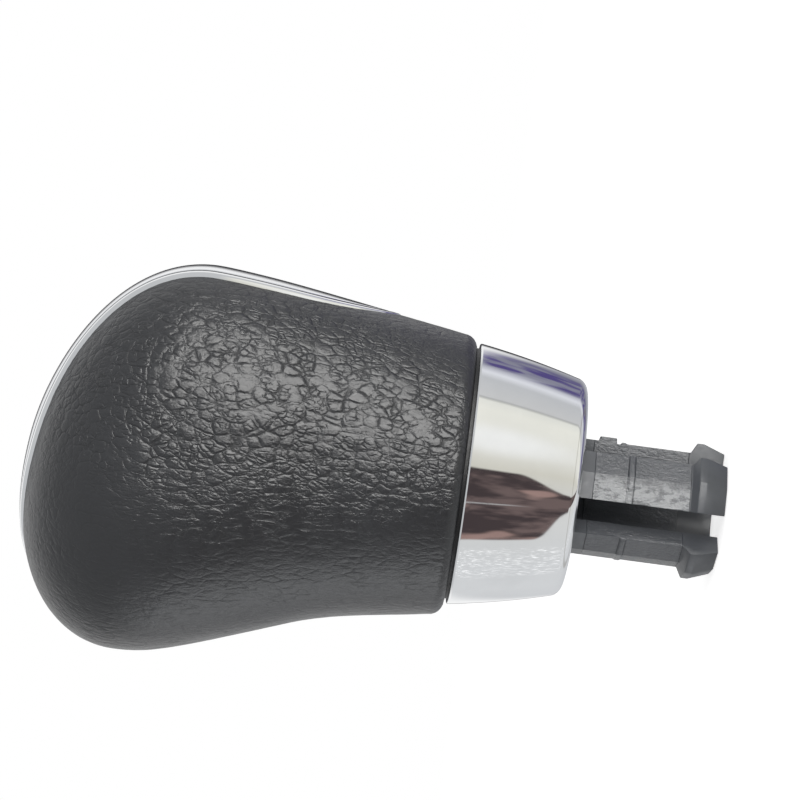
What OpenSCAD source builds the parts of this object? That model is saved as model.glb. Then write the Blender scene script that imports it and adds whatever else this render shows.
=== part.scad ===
// Gear shift knob: a leather covered head with a long oval panel over its rear and crown,
// a bright collar under the neck, and a split sleeve that a lever gaiter snaps onto.
// Z runs up the lever's axis and X points to the rear, towards the panel.
// The origin is on the lever's axis, at the mouth of its bore, level with the collar's lower face.

/* [Head] */
// Reach of the neck in front of the lever's axis
neck_front = 19.5; // [18.9:0.1:20.4]
// Reach of the neck behind the lever's axis
neck_rear = 20.8; // [20.2:0.1:21.6]
// Width of the neck across the lever
neck_w = 40.2; // [39:0.2:42]
// Lean of the neck's walls away from the lever
neck_lean = 10; // [6:1:14]
// Reach of the waist, where the front starts to swell
waist_front = 23.4; // [22.6:0.1:24.4]
// Height of the waist above the neck's lower edge
waist_rise = 21.5; // [18:0.5:25]
// Lean of the front wall at the waist
waist_lean = 20; // [15:1:25]
// Reach of the front bulge
bulge_front = 30.2; // [28:0.2:33]
// Height of the front bulge above the neck's lower edge
bulge_rise = 45.5; // [42:0.5:49]
// Reach of the rear face
back_rear = 25.3; // [24.4:0.1:26.6]
// Height of the rear face's furthest point above the neck's lower edge
back_rise = 38; // [35:0.5:41]
// Height of the crown above the neck's lower edge
crown_rise = 61; // [58:0.5:66]
// Distance of the crown's middle in front of the lever's axis
crown_front = 3; // [1:0.5:6]
// Fall of the crown towards the rear, in degrees
crown_fall = 5; // [2:0.5:9]
// Width of the head across the lever
head_w = 46.6; // [43:0.2:50]
// Width of the crown as a share of its depth
crown_ratio = 0.88; // [0.8:0.02:1]
// Squareness of the front half of the head's sections, where 2 is an ellipse
front_square = 2.2; // [2:0.05:2.4]
// Squareness of the rear half of the head's sections
rear_square = 2.6; // [2.3:0.05:2.9]

/* [Leather] */
// Thickness of the leather
leather_t = 1.2; // [0.9:0.1:1.4]
// Radius of the leather's turn at the neck's lower edge
hem_r = 2; // [1.6:0.1:2.4]
// Length of leather that turns in under the neck
hem_in = 4.5; // [3.5:0.1:5]

/* [Core] */
// Wall of the core
core_wall = 2.5; // [2:0.1:3]
// Thickness of the core's floor, above the turned leather
floor_t = 4.5; // [3.5:0.1:6]
// Thickness of the ribs and of the shelf
rib_t = 2; // [1.4:0.1:2.4]
// Distance of each rib from the lever's axis
rib_x = 14.2; // [13.4:0.1:14.6]
// Radius of the screw bosses
boss_r = 3.4; // [3:0.1:3.6]
// Distance of the lower bosses from the lever's axis
low_boss_x = 13.2; // [12.6:0.1:13.8]
// Height of the lower bosses above the socket's flange
low_boss_rise = 4; // [3.8:0.1:5]
// Distance of the upper front boss from the lever's axis
front_boss_x = 18; // [15:0.5:20]
// Distance of the upper rear boss from the lever's axis
rear_boss_x = 9; // [6:0.5:10]
// Height of the upper bosses above the shelf
high_boss_rise = 13; // [10:0.5:15]

/* [Screws] */
// Radius of a screw's thread
screw_r = 1.25; // [1.1:0.05:1.4]
// Radius of a screw's head
screw_head_r = 2.2; // [2:0.1:2.3]
// Height of a screw's head
screw_head_h = 1.4; // [1.2:0.1:1.6]
// Length of a screw that joins the core's halves, under its head
core_screw_len = 14; // [12:0.5:16]
// Depth of that screw's seat, measured from the joint between the halves
core_seat_y = 5; // [4:0.5:6]
// Gap around a screw in a plain hole
screw_play = 0.2; // [0.1:0.05:0.3]

/* [Panel] */
// Width of the bezel around the panel
trim_w = 24; // [22:0.5:27]
// Height of the bezel's lower end above the neck's lower edge
trim_low_rise = 11.4; // [10:0.2:16]
// Reach of the bezel's upper end in front of the lever's axis
trim_top_front = 18.9; // [16:0.1:21]
// Squareness of the panel's outline, where 2 is an ellipse
trim_square = 2.2; // [2:0.1:2.6]
// Width of the bezel's face
bezel_face = 1.1; // [0.9:0.1:1.6]
// Width of the bezel's lip over the leather
bezel_lip = 0.5; // [0.3:0.05:0.6]
// Height of the bezel above the leather
bezel_proud = 0.5; // [0.3:0.05:0.8]
// Share of that height which is left at the two ends of the bezel
end_proud = 0.25; // [0.2:0.05:1]
// Gap between the bezel and the panel
panel_gap = 0.4; // [0.2:0.05:0.6]
// Height of the panel above the leather's own surface
panel_proud = 0.45; // [0.3:0.05:0.8]
// Thickness of the panel
panel_t = 1.45; // [1.3:0.05:1.8]
// Thickness of the carrier under the panel
carrier_t = 1.4; // [1.2:0.1:1.6]
// Width of a carrier hook
hook_w = 3; // [2.5:0.1:3.4]
// Thickness of a carrier hook
hook_t = 1.4; // [1.2:0.1:1.8]
// Length of a carrier hook below the carrier
hook_len = 3.6; // [3.2:0.2:5]
// Catch of a hook behind the core's wall
hook_catch = 0.7; // [0.5:0.1:0.9]
// Distance of the hooks from the panel's middle line
hook_y = 6.5; // [5.5:0.5:8]
// Distance of the hooks from the panel's middle, along the head
hook_reach = 12; // [8:0.5:13]
// Depth of a hook's root in the carrier
hook_root = 0.3; // [0.2:0.05:0.4]
// Height of a hook's barb
hook_barb = 1; // [0.8:0.1:1.2]
// Gap around a hook in its slot
hook_play = 0.3; // [0.2:0.05:0.5]

/* [Collar] */
// Height of the collar
collar_h = 15.9; // [15:0.1:18]
// Radius of the collar's upper edge
collar_top_r = 18.75; // [18.4:0.05:19.4]
// Radius that the collar's taper would reach at its lower face
collar_low_r = 15.25; // [15.1:0.05:16.5]
// Swell of the collar's side past a straight taper
collar_swell = 0.3; // [0:0.05:0.6]
// Radius of the collar's lower edge
collar_edge_r = 1.8; // [1:0.1:2.2]
// Bevel of the collar's upper edge
collar_bevel = 0.4; // [0.2:0.05:0.6]
// Wall of the collar
collar_wall = 1.4; // [1.1:0.05:1.5]
// Thickness of the collar's floor
collar_floor_t = 1.6; // [1.2:0.1:2]
// Distance of the collar's middle behind the lever's axis
collar_shift = 1; // [0.4:0.1:1.1]
// Depth of the snap groove inside the collar
snap_depth = 0.5; // [0.3:0.05:0.6]
// Height of the snap groove above the collar's lower face
snap_z = 11; // [10.5:0.1:11.5]

/* [Tuck ring] */
// Height of the dark gap between the collar and the leather
tuck_gap = 0.4; // [0.3:0.05:1]
// Radius of the tuck ring's rim
tuck_rim_r = 18; // [17.4:0.05:18.3]
// Thickness of the tuck ring's web below the collar's upper edge
tuck_web_t = 2; // [1.6:0.1:2.4]
// Length of the tuck ring's skirt
tuck_skirt = 4.2; // [3.8:0.1:5]
// Least length of the skirt below the middle of the snap groove
tuck_foot = 1.3; // [1.1:0.1:1.6]
// Wall of the tuck ring's skirt
tuck_wall = 1.2; // [1:0.1:1.3]
// Gap between pieces that slide together inside the collar
slip = 0.15; // [0.1:0.05:0.2]

/* [Gaiter sleeve] */
// Length of the sleeve below the collar
sleeve_len = 20.8; // [18:0.1:26]
// Radius of the sleeve
sleeve_r = 8.25; // [8:0.05:8.6]
// Number of fingers
fingers = 4; // [3:1:4]
// Angle that one finger spans
finger_span = 53; // [45:1:60]
// Angle of the first finger's middle, from the rear
finger_turn = 27; // [0:1:45]
// Radius at the barb's land
barb_r = 9.7; // [9.2:0.1:10.2]
// Radius of the sleeve's free end
tip_r = 8.6; // [8.4:0.05:8.9]
// Length of the barb's lead in slope
barb_lead = 3; // [2.5:0.1:3.6]
// Length of the barb's land
barb_land = 1; // [0.5:0.1:1.2]
// Length of the barb's steep back
barb_back = 0.8; // [0.4:0.1:1]
// Height of the stop lugs off the sleeve
stop_h = 0.65; // [0.4:0.05:0.9]
// Length of a stop lug along the sleeve
stop_len = 2.6; // [2:0.1:3]
// Distance of the stop lugs below the collar
stop_drop = 2.8; // [2:0.1:4]
// Height of the small bead below a stop lug
bead_h = 0.15; // [0.1:0.05:0.3]
// Length of the small bead
bead_len = 0.9; // [0.5:0.1:1.2]
// Length of the groove between the bead and the stop lug
groove_len = 0.5; // [0.3:0.1:1]
// Distance below the collar of the low rib on a finger that has no lug
low_rib_drop = 6.9; // [6.5:0.1:9]
// Length of that low rib
low_rib_len = 1; // [0.6:0.1:1.6]
// Thickness of the sleeve's flange
flange_t = 2.4; // [2:0.1:3]
// Radius of the circle of sleeve screws
post_circle_r = 11.2; // [11.1:0.05:11.3]
// Radius of a sleeve post
post_r = 2.1; // [2:0.05:2.15]
// Thickness of the webs that join the posts to the sleeve
post_web_t = 1.6; // [1.2:0.1:2]
// Height at which a sleeve screw's head seats
sleeve_seat_z = 3.2; // [3:0.1:3.4]
// Depth of a sleeve screw in the core's floor
sleeve_screw_grip = 5; // [4:0.1:5.3]

/* [Lever socket] */
// Radius of the lever
lever_r = 5; // [4.7:0.05:5.2]
// Depth of the lever's bore
bore_depth = 38; // [34:0.5:42]
// Wall of the socket's stem
stem_wall = 1.9; // [1.6:0.05:1.95]
// Gap between the lever and the fingers
finger_play = 0.2; // [0.1:0.05:0.4]
// Wall of the socket's hub
hub_wall = 3.6; // [3.2:0.1:4]
// Thickness of the socket's top
socket_top = 3; // [2:0.5:5]
// Radius of the socket's flange
socket_flange_r = 14.4; // [14:0.1:14.6]
// Thickness of the socket's flange
socket_flange_t = 3; // [2.4:0.1:3.6]
// Radius of the damper bush
bush_r = 9; // [8.6:0.05:9.3]
// Radius of the damper bush's flange
bush_flange_r = 12.5; // [11:0.1:13.5]
// Thickness of the damper bush's flange
bush_flange_t = 1.5; // [1:0.1:2]
// Height of the clip above the socket's flange
clip_rise = 9; // [8.4:0.1:10]
// Thickness of the clip
clip_t = 0.8; // [0.6:0.1:1]
// Width of a clip leg
clip_w = 1.4; // [1.2:0.1:1.6]
// Gap between a clip leg and a lever without its groove
clip_gap = 0.05; // [0.02:0.01:0.1]
// Gap beside a clip leg in its slot
clip_play = 0.2; // [0.1:0.05:0.3]

/* [Hidden] */

$fn = 64;
sides = 32;
low_steps = 5;
high_steps = 8;
top_v = 0.975;
outline_steps = 56;
spine_steps = 48;
posts = 4;
over = 1;

// Heights, from the collar up
neck_z = collar_h + tuck_gap;
form_z = neck_z + hem_r;
core_z = neck_z + leather_t;
floor_z = core_z + floor_t;
socket_flange_z = floor_z + bush_flange_t;
rib_z = socket_flange_z + socket_flange_t;
shelf_z = bore_depth + socket_top;
low_boss_z = rib_z + low_boss_rise;
high_boss_z = shelf_z + high_boss_rise;
web_z = collar_h - tuck_web_t;
clip_z = rib_z + clip_rise;

// Radii, from the lever out
stem_r = lever_r + stem_wall;
hub_r = lever_r + hub_wall;
finger_bore_r = lever_r + finger_play;
spigot_r = (neck_front + neck_rear) / 2 - hem_in - slip;
neck_x = (neck_rear - neck_front) / 2;

// Depths below the leather's surface, where a height above it is negative
panel_seat = panel_t - panel_proud;
pocket_depth = panel_seat + carrier_t;
cavity_depth = leather_t + core_wall;

// The head's two side curves, in the plane of the lever and the panel
function mix(a, b, t) = a + (b - a) * t;
function ease(t) = t * t * (3 - 2 * t);
function unit(v) = v / norm(v);
function lean(angle) = [sin(angle), cos(angle)];
function stretch(a, b, dir_a, dir_b, arm_a, arm_b) =
    [a, a + dir_a * arm_a * norm(b - a), b - dir_b * arm_b * norm(b - a), b];
function curve_point(c, t) = pow(1 - t, 3) * c[0] + 3 * t * pow(1 - t, 2) * c[1]
    + 3 * t * t * (1 - t) * c[2] + pow(t, 3) * c[3];
function curve_way(c, t) = unit(pow(1 - t, 2) * (c[1] - c[0])
    + 2 * t * (1 - t) * (c[2] - c[1]) + t * t * (c[3] - c[2]));
function place(c, t) = [curve_point(c, t), curve_way(c, t)];

upright = [0, 1];
crown = [-crown_front, neck_z + crown_rise];
crown_way = [cos(crown_fall), -sin(crown_fall)];
front_neck = [-neck_front, form_z];
front_waist = [-waist_front, neck_z + waist_rise];
front_bulge = [-bulge_front, neck_z + bulge_rise];
rear_neck = [neck_rear, form_z];
rear_back = [back_rear, neck_z + back_rise];

front_low = stretch(front_neck, front_waist, lean(-neck_lean), lean(-waist_lean), 0.33, 0.33);
front_mid = stretch(front_waist, front_bulge, lean(-waist_lean), upright, 0.7, 0.2);
front_top = stretch(front_bulge, crown, upright, crown_way, 0.285, 0.58);
rear_low = stretch(rear_neck, rear_back, lean(neck_lean), upright, 0.2, 0.12);
rear_top = stretch(rear_back, crown, upright, -crown_way, 0.37, 0.32);

// v runs from the neck, 0, through the waist and the bulge, 0.5, to the crown, 1
function front_at(v) = v < 0.25 ? place(front_low, v * 4)
    : v < 0.5 ? place(front_mid, v * 4 - 1)
    : place(front_top, v * 2 - 1);
function rear_at(v) = v < 0.5 ? place(rear_low, v * 2) : place(rear_top, v * 2 - 1);

// The head's sections, each an oval between a front point and a rear point
neck_ratio = neck_w / (neck_front + neck_rear);
head_ratio = head_w / (bulge_front + back_rear);
function by_height(v, low, mid, top) =
    v < 0.5 ? mix(low, mid, ease(v * 2)) : mix(mid, top, ease(v * 2 - 1));
function width_ratio(v) = by_height(v, neck_ratio, head_ratio, crown_ratio);
function squareness(v, most) = by_height(v, 2, most, mix(2, most, 0.5));

function oval(front, rear, half_w, front_p, rear_p) =
    [for (i = [0:sides - 1])
        let (a = 360 * i / sides,
             p = cos(a) > 0 ? rear_p : front_p,
             s = pow(pow(abs(cos(a)), p) + pow(abs(sin(a)), p), -1 / p),
             c = (front + rear) / 2 + (rear - front) / 2 * s * cos(a))
        [c[0], half_w * s * sin(a), c[1]]];

// A height above the leather is full over the rear and the crown, and falls towards the trim's ends
function fade(t) = mix(end_proud, 1, ease(max(0, min(1, t))));
function front_share(v, depth) = depth < 0 ? fade((v - 0.8) / 0.12) : 1;
function rear_share(v, depth) = depth < 0 ? fade((v - 0.12) / 0.25) : 1;
function front_in(v, depth) =
    let (f = front_at(v))
    f[0] + depth * front_share(v, depth) * [f[1][1], -f[1][0]];
function rear_in(v, depth) =
    let (r = rear_at(v))
    r[0] + depth * rear_share(v, depth) * [-r[1][1], r[1][0]];
function half_w_in(v, depth) =
    let (reach = norm(rear_at(v)[0] - front_at(v)[0]) / 2,
         inner = norm(rear_in(v, depth) - front_in(v, depth)) / 2)
    reach * width_ratio(v) - reach + inner;
function ring_at(v, depth) = oval(front_in(v, depth), rear_in(v, depth), half_w_in(v, depth),
                                  squareness(v, front_square), squareness(v, rear_square));

stations = concat([for (i = [0:low_steps]) 0.5 * i / low_steps],
                  [for (i = [1:high_steps]) mix(0.5, top_v, i / high_steps)]);
function head_rings(depth) = [for (v = stations) ring_at(v, depth)];

// The turn at the neck's lower edge, from 0 at the side to 90 degrees underneath
function hem_ring(depth, angle) =
    let (f = front_in(0, depth),
         r = rear_in(0, depth),
         inset = (hem_r - depth) * (1 - cos(angle)),
         front_drop = (f[1] - neck_z - depth) * sin(angle),
         rear_drop = (r[1] - neck_z - depth) * sin(angle))
    oval(f + [inset, -front_drop], r + [-inset, -rear_drop], half_w_in(0, depth) - inset, 2, 2);
function hem_rings(depth) = [for (angle = [90, 60, 30]) hem_ring(depth, angle)];
function lip_ring(z) = oval([-neck_front + hem_in, z], [neck_rear - hem_in, z], neck_w / 2 - hem_in, 2, 2);
function turned(list) = [for (i = [len(list) - 1:-1:0]) list[i]];

// A closed skin over rings that rise. Each patch is parted along its shorter diagonal,
// so two skins through the same rings match whichever way they run.
module loft(rings) {
    n = len(rings[0]);
    last = (len(rings) - 1) * n;
    points = [for (ring = rings) each ring];
    walls = [for (i = [0:len(rings) - 2], j = [0:n - 1])
        let (a = i * n + j,
             b = i * n + (j + 1) % n,
             rising = norm(points[a] - points[b + n]) < norm(points[b] - points[a + n]))
        each rising ? [[a, a + n, b + n], [a, b + n, b]] : [[a, a + n, b], [a + n, b + n, b]]];
    bottom = [for (j = [0:n - 1]) j];
    top = [for (j = [n - 1:-1:0]) last + j];
    polyhedron(points, concat(walls, [bottom, top]));
}

module head_form(depth) {
    loft(concat(hem_rings(min(depth, hem_r - 0.3)), head_rings(depth)));
}

// The same form without the turn at its lower edge, for what lies in the trim
module upper_form(depth) {
    loft(head_rings(depth));
}

// The core's hollow, from a level floor up
module cavity() {
    front_side = [for (v = stations) front_in(v, cavity_depth)];
    rear_side = [for (v = stations) rear_in(v, cavity_depth)];
    f = [lookup(floor_z, [for (p = front_side) [p[1], p[0]]]), floor_z];
    r = [lookup(floor_z, [for (p = rear_side) [p[1], p[0]]]), floor_z];
    floor_w = lookup(floor_z, [for (v = stations)
        [front_in(v, cavity_depth)[1], half_w_in(v, cavity_depth)]]);
    upper = [for (v = stations)
        if (min(front_in(v, cavity_depth)[1], rear_in(v, cavity_depth)[1]) > floor_z + over)
            ring_at(v, cavity_depth)];
    loft(concat([oval(f, r, floor_w, 2, 2)], upper));
}

// The middle line of the rear face, over the crown to the front, with its running length
spine = concat([for (i = [0:spine_steps]) rear_at(i / spine_steps)[0]],
               [for (i = [1:spine_steps]) front_at(1 - 0.5 * i / spine_steps)[0]]);
spine_len = [for (i = 0, s = 0; i < len(spine);
                  i = i + 1, s = i < len(spine) ? s + norm(spine[i] - spine[i - 1]) : s) s];
function spine_at(s) = [lookup(s, [for (i = [0:len(spine) - 1]) [spine_len[i], spine[i][0]]]),
                        lookup(s, [for (i = [0:len(spine) - 1]) [spine_len[i], spine[i][1]]])];
trim_start = lookup(neck_z + trim_low_rise,
                    [for (i = [0:spine_steps - 1]) if (i < spine_steps * 0.6) [spine[i][1], spine_len[i]]]);
trim_end = lookup(trim_top_front,
                  [for (i = [spine_steps:len(spine) - 1]) [-spine[i][0], spine_len[i]]]);
trim_mid = (trim_start + trim_end) / 2;
trim_half = (trim_end - trim_start) / 2;
low_end = spine_at(trim_start);
high_end = spine_at(trim_end);
chord_mid = (low_end + high_end) / 2;
chord_way = unit(high_end - low_end);
facing = [chord_way[1], -chord_way[0]];
trim_tilt = atan2(facing[0], facing[1]);

// The trim's outline as it lies on the head, seen along the trim's facing
function trim_outline(inset) =
    [for (i = [0:outline_steps - 1])
        let (a = 360 * i / outline_steps,
             k = pow(pow(abs(cos(a)), trim_square) + pow(abs(sin(a)), trim_square), -1 / trim_square),
             p = spine_at(trim_mid + (trim_half - inset) * k * cos(a)))
        [-(p - chord_mid) * chord_way, (trim_w / 2 - inset) * k * sin(a)]];
trim_reach = (spine_at(trim_mid) - chord_mid) * facing + 4;
trim_below = 2.5 * pocket_depth;

module on_trim() {
    translate([chord_mid[0], 0, chord_mid[1]])
        rotate([0, trim_tilt, 0])
            children();
}

module trim_prism(inset) {
    on_trim()
        translate([0, 0, -trim_below])
            linear_extrude(trim_below + trim_reach)
                polygon(trim_outline(inset));
}

// A snap hook, or the slot that takes it with a gap, at a place along the spine and on one side
module hook(along, side, gap) {
    p = spine_at(trim_mid + along) - chord_mid;
    height = hook_len + hook_root + (gap > 0 ? pocket_depth : 0);
    on_trim()
        translate([-p * chord_way, side * hook_y, p * facing - pocket_depth - hook_len]) {
            translate([-hook_w / 2 - gap, -hook_t / 2 - gap, -gap])
                cube([hook_w + 2 * gap, hook_t + 2 * gap, height + gap]);
            translate([-hook_w / 2 - gap, side > 0 ? 0 : -hook_t / 2 - hook_catch, -gap])
                cube([hook_w + 2 * gap, hook_t / 2 + hook_catch, hook_barb + gap]);
        }
}

hook_spots = [-hook_reach, hook_reach];

module leather_cover() {
    color("#3d4146")
    difference() {
        loft(concat(turned(head_rings(leather_t)),
                    turned(hem_rings(leather_t)),
                    [lip_ring(core_z), lip_ring(neck_z)],
                    hem_rings(0),
                    head_rings(0)));
        trim_prism(bezel_lip);
    }
}

// Both halves of the core before they are parted
module core_body() {
    difference() {
        union() {
            difference() {
                head_form(leather_t);
                trim_prism(bezel_lip);
            }
            upper_form(pocket_depth);
            translate([neck_x, 0, neck_z])
                cylinder(h = leather_t + over, r = spigot_r);
        }
        difference() {
            cavity();
            core_inside();
        }
    }
}

module rib(x) {
    translate([x - rib_t / 2, -head_w / 2, rib_z])
        cube([rib_t, head_w, high_boss_z - rib_z]);
}

module boss(x, z) {
    translate([x, head_w / 2, z])
        rotate([90, 0, 0])
            cylinder(h = head_w, r = boss_r);
}

core_screws = [[-low_boss_x, low_boss_z], [low_boss_x, low_boss_z],
               [-front_boss_x, high_boss_z], [rear_boss_x, high_boss_z]];

// What the hollow leaves standing: two ribs, a shelf over the socket and four bosses
module core_inside() {
    rib(-rib_x);
    rib(rib_x);
    translate([-bulge_front, -head_w / 2, shelf_z])
        cube([bulge_front + back_rear, head_w, rib_t]);
    for (s = core_screws) boss(s[0], s[1]);
}

module post_spots() {
    for (i = [0:posts - 1])
        rotate([0, 0, 45 + 360 * i / posts])
            translate([post_circle_r, 0, 0])
                children();
}

// side is -1 for the left half and 1 for the right half
module core_half(side) {
    difference() {
        intersection() {
            core_body();
            translate([-bulge_front - over, side > 0 ? 0 : -head_w, 0])
                cube([bulge_front + back_rear + 3 * over, head_w, crown[1] + 5 * over]);
        }
        translate([0, 0, neck_z - over])
            cylinder(h = floor_z - neck_z + 2 * over, r = bush_r);
        post_spots()
            translate([0, 0, neck_z - over])
                cylinder(h = sleeve_screw_grip + over, r = screw_r);
        for (s = core_screws)
            translate([s[0], 0, s[1]])
                rotate([side * -90, 0, 0]) {
                    if (side > 0) {
                        translate([0, 0, -over])
                            cylinder(h = core_seat_y + 2 * over, r = screw_r + screw_play);
                        translate([0, 0, core_seat_y])
                            cylinder(h = head_w, r = screw_head_r + screw_play);
                    } else {
                        translate([0, 0, -over])
                            cylinder(h = core_screw_len - core_seat_y + 2 * over, r = screw_r);
                    }
                }
        for (along = hook_spots) hook(along, side, hook_play);
    }
}

module core_left() {
    color("#2b2b2d") core_half(-1);
}

module core_right() {
    color("#343437") core_half(1);
}

// A pan head screw along Z, with its seat at the origin and its point upwards
module screw(length) {
    point = screw_r;
    difference() {
        rotate_extrude()
            polygon([[0, -screw_head_h], [screw_head_r - 0.4, -screw_head_h],
                     [screw_head_r, -screw_head_h + 0.5], [screw_head_r, 0], [screw_r, 0],
                     [screw_r, length - point], [0, length]]);
        for (turn = [0, 90])
            rotate([0, 0, turn])
                translate([-screw_head_r * 0.6, -0.25, -screw_head_h - over])
                    cube([screw_head_r * 1.2, 0.5, over + screw_head_h * 0.55]);
    }
}

module core_screw(i) {
    color("silver")
    translate([core_screws[i][0], core_seat_y, core_screws[i][1]])
        rotate([90, 0, 0])
            screw(core_screw_len);
}

module sleeve_screw(i) {
    color("silver")
    rotate([0, 0, 45 + 360 * i / posts])
        translate([post_circle_r, 0, sleeve_seat_z])
            screw(neck_z + sleeve_screw_grip - sleeve_seat_z);
}

module bezel_frame() {
    color("#c9ccd0")
    difference() {
        intersection() {
            upper_form(-bezel_proud);
            trim_prism(0);
        }
        difference() {
            upper_form(0);
            trim_prism(bezel_lip);
        }
        upper_form(panel_seat);
        trim_prism(bezel_face);
    }
}

module panel_carrier() {
    color("#151515")
    intersection() {
        upper_form(panel_seat);
        union() {
            difference() {
                trim_prism(bezel_lip);
                upper_form(pocket_depth);
            }
            for (along = hook_spots, side = [-1, 1]) hook(along, side, 0);
        }
    }
}

module face_panel() {
    color("#d8dadd")
    intersection() {
        trim_prism(bezel_face + panel_gap);
        difference() {
            upper_form(-panel_proud);
            upper_form(panel_seat);
        }
    }
}

// The collar's outer radius at a height
function collar_r(z) = mix(collar_low_r, collar_top_r, z / collar_h)
    + collar_swell * 4 * (z / collar_h) * (1 - z / collar_h);
function collar_in(z) = collar_r(z) - collar_wall;
collar_lean = atan((collar_top_r - collar_low_r) / collar_h);
edge_top = collar_edge_r * (1 - sin(collar_lean));
edge_x = collar_r(edge_top) - collar_edge_r * cos(collar_lean);
collar_steps = 10;

module snap_ring(gap) {
    reach = collar_in(snap_z) + snap_depth - gap;
    polygon([[collar_in(snap_z) - 1, snap_z - 1], [collar_in(snap_z) - slip, snap_z - 0.9 + gap],
             [reach, snap_z - 0.2], [reach, snap_z + 0.2 - gap],
             [collar_in(snap_z) - slip, snap_z + 0.6 - gap], [collar_in(snap_z) - 1, snap_z + 0.6]]);
}

module chrome_collar() {
    color("#e3e5e8")
    difference() {
        translate([collar_shift, 0, 0])
            rotate_extrude()
                difference() {
                    polygon(concat(
                        [[0, 0]],
                        [for (i = [0:6]) let (a = -90 + (90 - collar_lean) * i / 6)
                            [edge_x + collar_edge_r * cos(a), collar_edge_r * (1 + sin(a))]],
                        [for (i = [1:collar_steps])
                            let (z = mix(edge_top, collar_h - collar_bevel, i / collar_steps))
                            [collar_r(z), z]],
                        [[collar_r(collar_h) - collar_bevel, collar_h], [collar_in(collar_h), collar_h]],
                        [for (i = [collar_steps:-1:0])
                            let (z = mix(collar_floor_t, collar_h - over / 2, i / collar_steps))
                            [collar_in(z), z]],
                        [[0, collar_floor_t]]));
                    snap_ring(0);
                }
        translate([0, 0, -over])
            cylinder(h = collar_floor_t + 2 * over, r = sleeve_r + slip);
    }
}

module tuck_ring() {
    skirt_z = min(web_z - tuck_skirt, snap_z - tuck_foot);
    color("#101010")
    difference() {
        translate([collar_shift, 0, 0])
            rotate_extrude() {
                polygon([[0, web_z], [collar_in(web_z) - slip, web_z],
                         [collar_in(collar_h - over / 2) - slip, collar_h],
                         [tuck_rim_r, collar_h], [tuck_rim_r, neck_z], [0, neck_z]]);
                polygon([[collar_in(skirt_z) - slip - tuck_wall, skirt_z],
                         [collar_in(skirt_z) - slip, skirt_z],
                         [collar_in(web_z) - slip, web_z], [collar_in(web_z) - slip, web_z + over],
                         [collar_in(web_z) - slip - tuck_wall, web_z + over],
                         [collar_in(web_z) - slip - tuck_wall, web_z]]);
                snap_ring(0.1);
            }
        translate([0, 0, web_z - over])
            cylinder(h = neck_z - web_z + 2 * over, r = stem_r + slip);
        post_spots()
            translate([0, 0, web_z - over])
                cylinder(h = neck_z - web_z + 2 * over, r = screw_r + screw_play);
    }
}

// Height above the sleeve's free end and radius, along the ridge of a finger
barb_profile = [
    [0, tip_r],
    [barb_lead, barb_r],
    [barb_lead + barb_land, barb_r],
    [barb_lead + barb_land + barb_back, sleeve_r]];
stop_z = sleeve_len - stop_drop - stop_len;
lug_profile = concat(barb_profile, [
    [stop_z - groove_len - bead_len, sleeve_r],
    [stop_z - groove_len - bead_len * 0.8, sleeve_r + bead_h],
    [stop_z - groove_len - bead_len * 0.2, sleeve_r + bead_h],
    [stop_z - groove_len, sleeve_r - bead_h],
    [stop_z, sleeve_r - bead_h],
    [stop_z + 0.1, sleeve_r + stop_h],
    [sleeve_len - stop_drop - 0.1, sleeve_r + stop_h],
    [sleeve_len - stop_drop, sleeve_r],
    [sleeve_len, sleeve_r]]);
rib_end = sleeve_len - low_rib_drop;
plain_profile = concat(barb_profile, [
    [rib_end - low_rib_len, sleeve_r],
    [rib_end - low_rib_len * 0.85, sleeve_r + bead_h],
    [rib_end - low_rib_len * 0.15, sleeve_r + bead_h],
    [rib_end, sleeve_r],
    [sleeve_len, sleeve_r]]);

// One finger: two flats that meet in a ridge outside, and a round inside
module finger(profile) {
    inside_steps = 6;
    outside = [for (i = [0:2]) finger_span * (i - 1) / 2];
    inside = [for (i = [0:inside_steps]) finger_span * (0.5 - i / inside_steps)];
    loft([for (p = profile)
        concat([for (a = outside) [p[1] * cos(a), p[1] * sin(a), p[0] - sleeve_len]],
               [for (a = inside) [finger_bore_r * cos(a), finger_bore_r * sin(a), p[0] - sleeve_len]])]);
}

module gaiter_sleeve() {
    flange_r = collar_in(collar_floor_t) - 2 * slip;
    root_r = sleeve_r + slip / 3;
    color("#6a6d72")
    difference() {
        union() {
            for (i = [0:fingers - 1])
                rotate([0, 0, finger_turn + 360 * i / fingers])
                    finger(i < fingers / 2 ? lug_profile : plain_profile);
            cylinder(h = web_z, r = root_r);
            translate([collar_shift, 0, collar_floor_t])
                cylinder(h = flange_t, r = flange_r);
            post_spots() {
                translate([0, 0, collar_floor_t])
                    cylinder(h = web_z - collar_floor_t, r = post_r);
                translate([-post_circle_r + stem_r + over / 2, -post_web_t / 2, collar_floor_t])
                    cube([post_circle_r - stem_r - over / 2, post_web_t, web_z - collar_floor_t]);
            }
        }
        cylinder(h = web_z + over, r = stem_r + slip);
        post_spots() {
            translate([0, 0, collar_floor_t - over])
                cylinder(h = web_z, r = screw_r + screw_play);
            translate([0, 0, collar_floor_t - over])
                cylinder(h = sleeve_seat_z - collar_floor_t + over, r = screw_head_r + screw_play - 0.1);
        }
    }
}

// Distance from the bore's axis to a clip leg's inner face
clip_inner = lever_r + clip_gap;

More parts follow.
